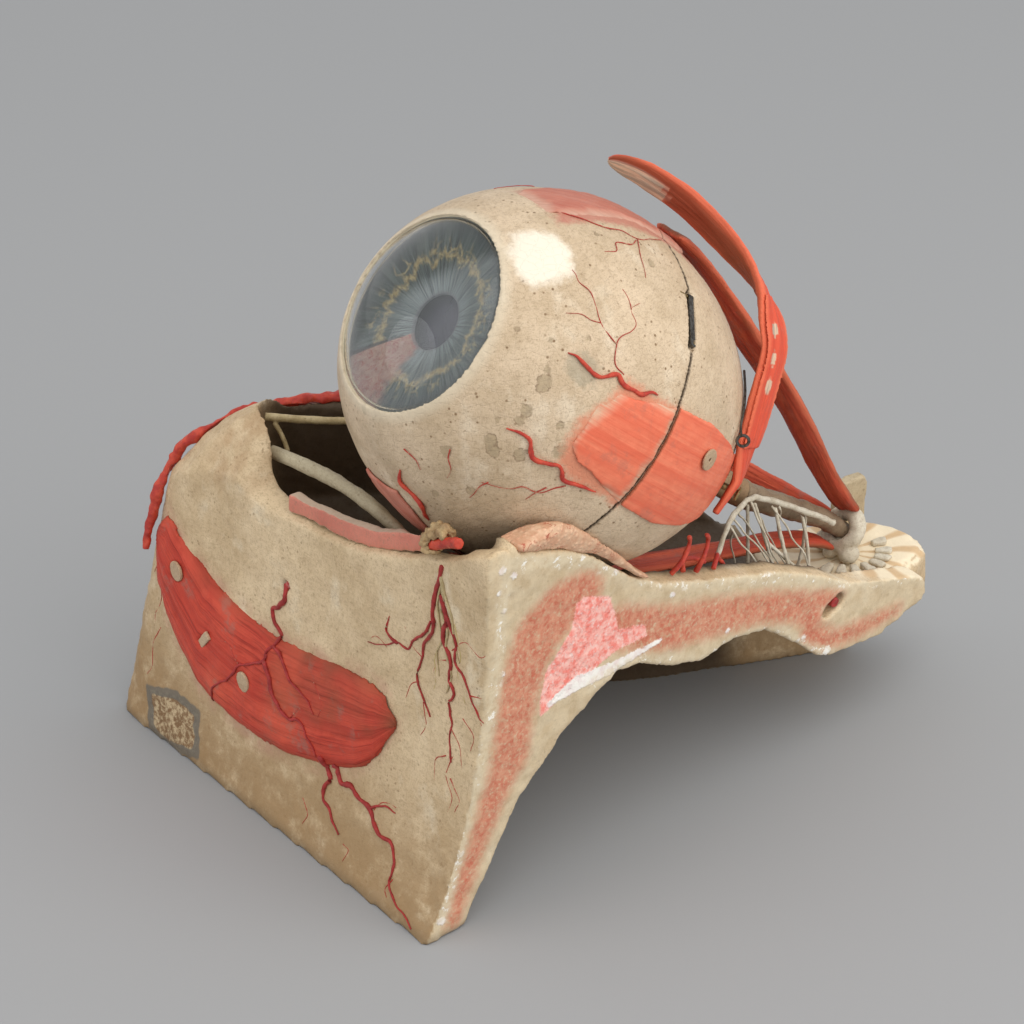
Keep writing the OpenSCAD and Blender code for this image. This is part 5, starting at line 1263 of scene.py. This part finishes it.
for node, (name, paint, radius, lines) in cheekCords.items():
    cordTubes = []
    for i, line in enumerate(lines):
        path = onCheek(smoothLine(line, 5))
        path += sway(path * 1000, cordShape["swaySize"], (i, i + 9, i + 5)) * cordShape["sway"]
        path[:, 1] -= cordShape["lift"]
        k = np.linspace(0, 1, len(path))
        stem = 1 if i == 0 or len(line) > 7 else 0.7
        knots = 0.85 + 0.3 * lumps(path * 1000, cordShape["knotSize"], i)
        size = radius * stem * (1 - cordShape["taper"] * k) * knots
        cordTubes.append(tube(path, size / 1000, 8))
    mesh = newMesh(name, *joined(cordTubes))
    showPiece(mesh, name, "base", paint, (node,))
cordTubes = []
for i, line in enumerate(globeCords):
    path = eyePlaced([onGlobe(a, w, 0.5) for a, w in smoothLine(line, 5)])
    path += sway(path * 1000, 2.4, (i, i + 9, i + 5)) * 0.0004
    k = np.linspace(0, 1, len(path))
    knots = 0.85 + 0.25 * lumps(path * 1000, cordShape["knotSize"], i)
    size = 0.85 * np.minimum(1, 0.3 + 4 * np.minimum(k, 1 - k)) * knots
    cordTubes.append(tube(path, size / 1000, 8))
showPiece(newMesh("globeArteries", *joined(cordTubes)), "globeArteries", bodyOf["globe_arteries"], brightArtery,
          ("globe_arteries",))

# pale bead of glue round the glass, and the loose nerve threads near the apex
glue = {"radius": 32.75, "plane": 57.75, "thick": 0.00042, "steps": 144}
turns = np.linspace(0, 2 * math.pi, glue["steps"] + 1)[:-1]
ring = [[glue["radius"] * math.cos(a), glue["radius"] * math.sin(a), glue["plane"]] for a in turns]
ring += ring[:1]
verts, faces = tube(eyePlaced(ring), glue["thick"] * (1 + 0.25 * lumps(np.array(ring), 3, 2)), 8)
showPiece(newMesh("glassEdgeGlue", verts, faces), "glassEdgeGlue", "eye_front",
          hairPaint("glassEdgeGluePaint", (0.62, 0.53, 0.38), (0.26, 0.2, 0.13)))
threads = {
    "radius": 0.42, "sway": 1.2,
    "lines": [[(18, 63, 95), (22, 68, 86), (27, 72, 77.5)], [(16, 67, 96), (20, 74, 84), (25, 80, 74)],
              [(14, 71, 96.5), (12, 77, 86), (18, 84, 72), (22, 86, 70)], [(12, 76, 96), (17, 80, 84), (15, 88, 68)],
              [(11, 79, 95.5), (8, 86, 82), (12, 94, 66)], [(9, 88, 91), (13, 95, 78), (18, 99, 65.5)],
              [(8, 92, 88.5), (4, 96, 76), (6, 101, 60)], [(17, 64, 95), (11, 70, 84), (7, 76, 68)]],
}
parts = []
for i, line in enumerate(threads["lines"]):
    path = smoothLine(line, 6)
    path = placed(path + sway(path, 6, (i, i + 7, i + 3)) * threads["sway"])
    radii = threads["radius"] * np.linspace(1, 0.6, len(path)) / 1000
    parts.append(tube(path, radii, 6, ups=np.tile([1, 0.3, 0.1], (len(path), 1))))
showPiece(newMesh("looseNerveThreads", *joined(parts)), "looseNerveThreads", "base", paleNerve)

# small bead in the cheek's hole, with pale patches painted on as its glint
bead = {"at": (-45, 85), "radius": 1.5}
beadWithPaintedGlint = cordPaint("beadWithPaintedGlint", (0.45, 0.05, 0.04), (0.75, 0.66, 0.6))
turn = np.linspace(0, math.pi, 10)
verts, faces = lathe([(max(math.sin(a), 0.02) * bead["radius"], -math.cos(a) * bead["radius"]) for a in turn], 20)
middle = onCheek([bead["at"]])[0]
showPiece(newMesh("cheekBead", verts / 1000 + middle + [0, -0.0002, 0], faces), "cheekBead", "base", beadWithPaintedGlint)
print("hair vessels ready")

sizes = [list(corner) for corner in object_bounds()]
for title, box in (("size of the frame", cadBox), ("size of the scene", sizes)):
    print(title, [[round(v, 5) for v in corner] for corner in box])

# ---- studio: pale table, soft lamps and the camera
studio = {
    "table": (0.352, 0.352, 0.355), "backdrop": 0.40, "around": 0.74,
    "lamps": [("overheadLamp", (1.0, 0.1, 1.85), 2.4, 23.0, (1.0, 0.985, 0.955)),
              ("frontCard", (-0.45, -1.55, 0.5), 1.3, 6.5, (0.98, 0.99, 1.0)),
              ("sideCard", (1.35, 0.75, 0.34), 1.5, 10.0, (1.0, 0.985, 0.96))],
    "eye": (0.87545, -0.60788, 0.69898), "lens": 126.95,
    "right": (0.5544, 0.8323, 0), "up": (-0.4161, 0.2772, 0.866), "back": (0.7208, -0.4802, 0.5),
}


def makeTable():
    steps = np.linspace(-4, 4, 41)
    verts = [(x, y, -0.0002) for x in steps for y in steps]
    faces = [(i * 41 + j, i * 41 + j + 41, i * 41 + j + 42, i * 41 + j + 1) for i in range(40) for j in range(40)]
    mesh = newMesh("table", verts, faces)
    table = bpy.data.objects.new("paleTable", mesh)
    bpy.context.scene.collection.objects.link(table)
    p = Paint("paleTableTop", 0.2)
    base = studio["table"]
    mesh.materials.append(p.finish(p.blend(p.noise(260, 2) * 0.1, base, tuple(c * 0.93 for c in base)), 0.85))


def makeRoom():
    world = bpy.data.worlds.new("studioRoom")
    bpy.context.scene.world = world
    world.use_nodes = True
    tree = world.node_tree
    seen, around = tree.nodes["Background"], tree.nodes.new("ShaderNodeBackground")
    level = studio["backdrop"]
    seen.inputs[0].default_value, seen.inputs[1].default_value = (level, level, level * 1.005, 1), 1.0
    around.inputs[0].default_value, around.inputs[1].default_value = (0.96, 0.98, 1.0, 1), studio["around"]
    path = tree.nodes.new("ShaderNodeLightPath")
    rays = Value(tree, path.outputs["Is Camera Ray"]).atLeast(Value(tree, path.outputs["Is Glossy Ray"]) * 0.6)
    rays = rays.atLeast(Value(tree, path.outputs["Is Transmission Ray"]))
    mixed = tree.nodes.new("ShaderNodeMixShader")
    tree.links.new(rays.socket, mixed.inputs[0])
    tree.links.new(around.outputs[0], mixed.inputs[1])
    tree.links.new(seen.outputs[0], mixed.inputs[2])
    tree.links.new(mixed.outputs[0], tree.nodes["World Output"].inputs[0])


def makeLamps():
    for name, where, size, power, tint in studio["lamps"]:
        lamp = bpy.data.lights.new(name, "AREA")
        lamp.shape, lamp.size, lamp.energy, lamp.color = "DISK", size, power, tint
        holder = bpy.data.objects.new(name, lamp)
        bpy.context.scene.collection.objects.link(holder)
        holder.location = where
        holder.visible_glossy = False
        holder.rotation_euler = (Vector(where) - Vector((0.0, 0.0, 0.12))).to_track_quat("Z", "Y").to_euler()


def makeCamera():
    camera = bpy.data.objects.new("photoCamera", bpy.data.cameras.new("photoCamera"))
    bpy.context.scene.collection.objects.link(camera)
    camera.data.lens, camera.data.sensor_width = studio["lens"], 36
    camera.data.clip_start, camera.data.clip_end = 0.05, 20
    turn = Matrix((studio["right"], studio["up"], studio["back"])).transposed().to_4x4()
    camera.matrix_world = Matrix.Translation(studio["eye"]) @ turn
    bpy.context.scene.camera = camera


makeTable()
makeRoom()
makeLamps()
makeCamera()
bpy.context.scene.view_settings.view_transform = "Standard"
print("studio ready")
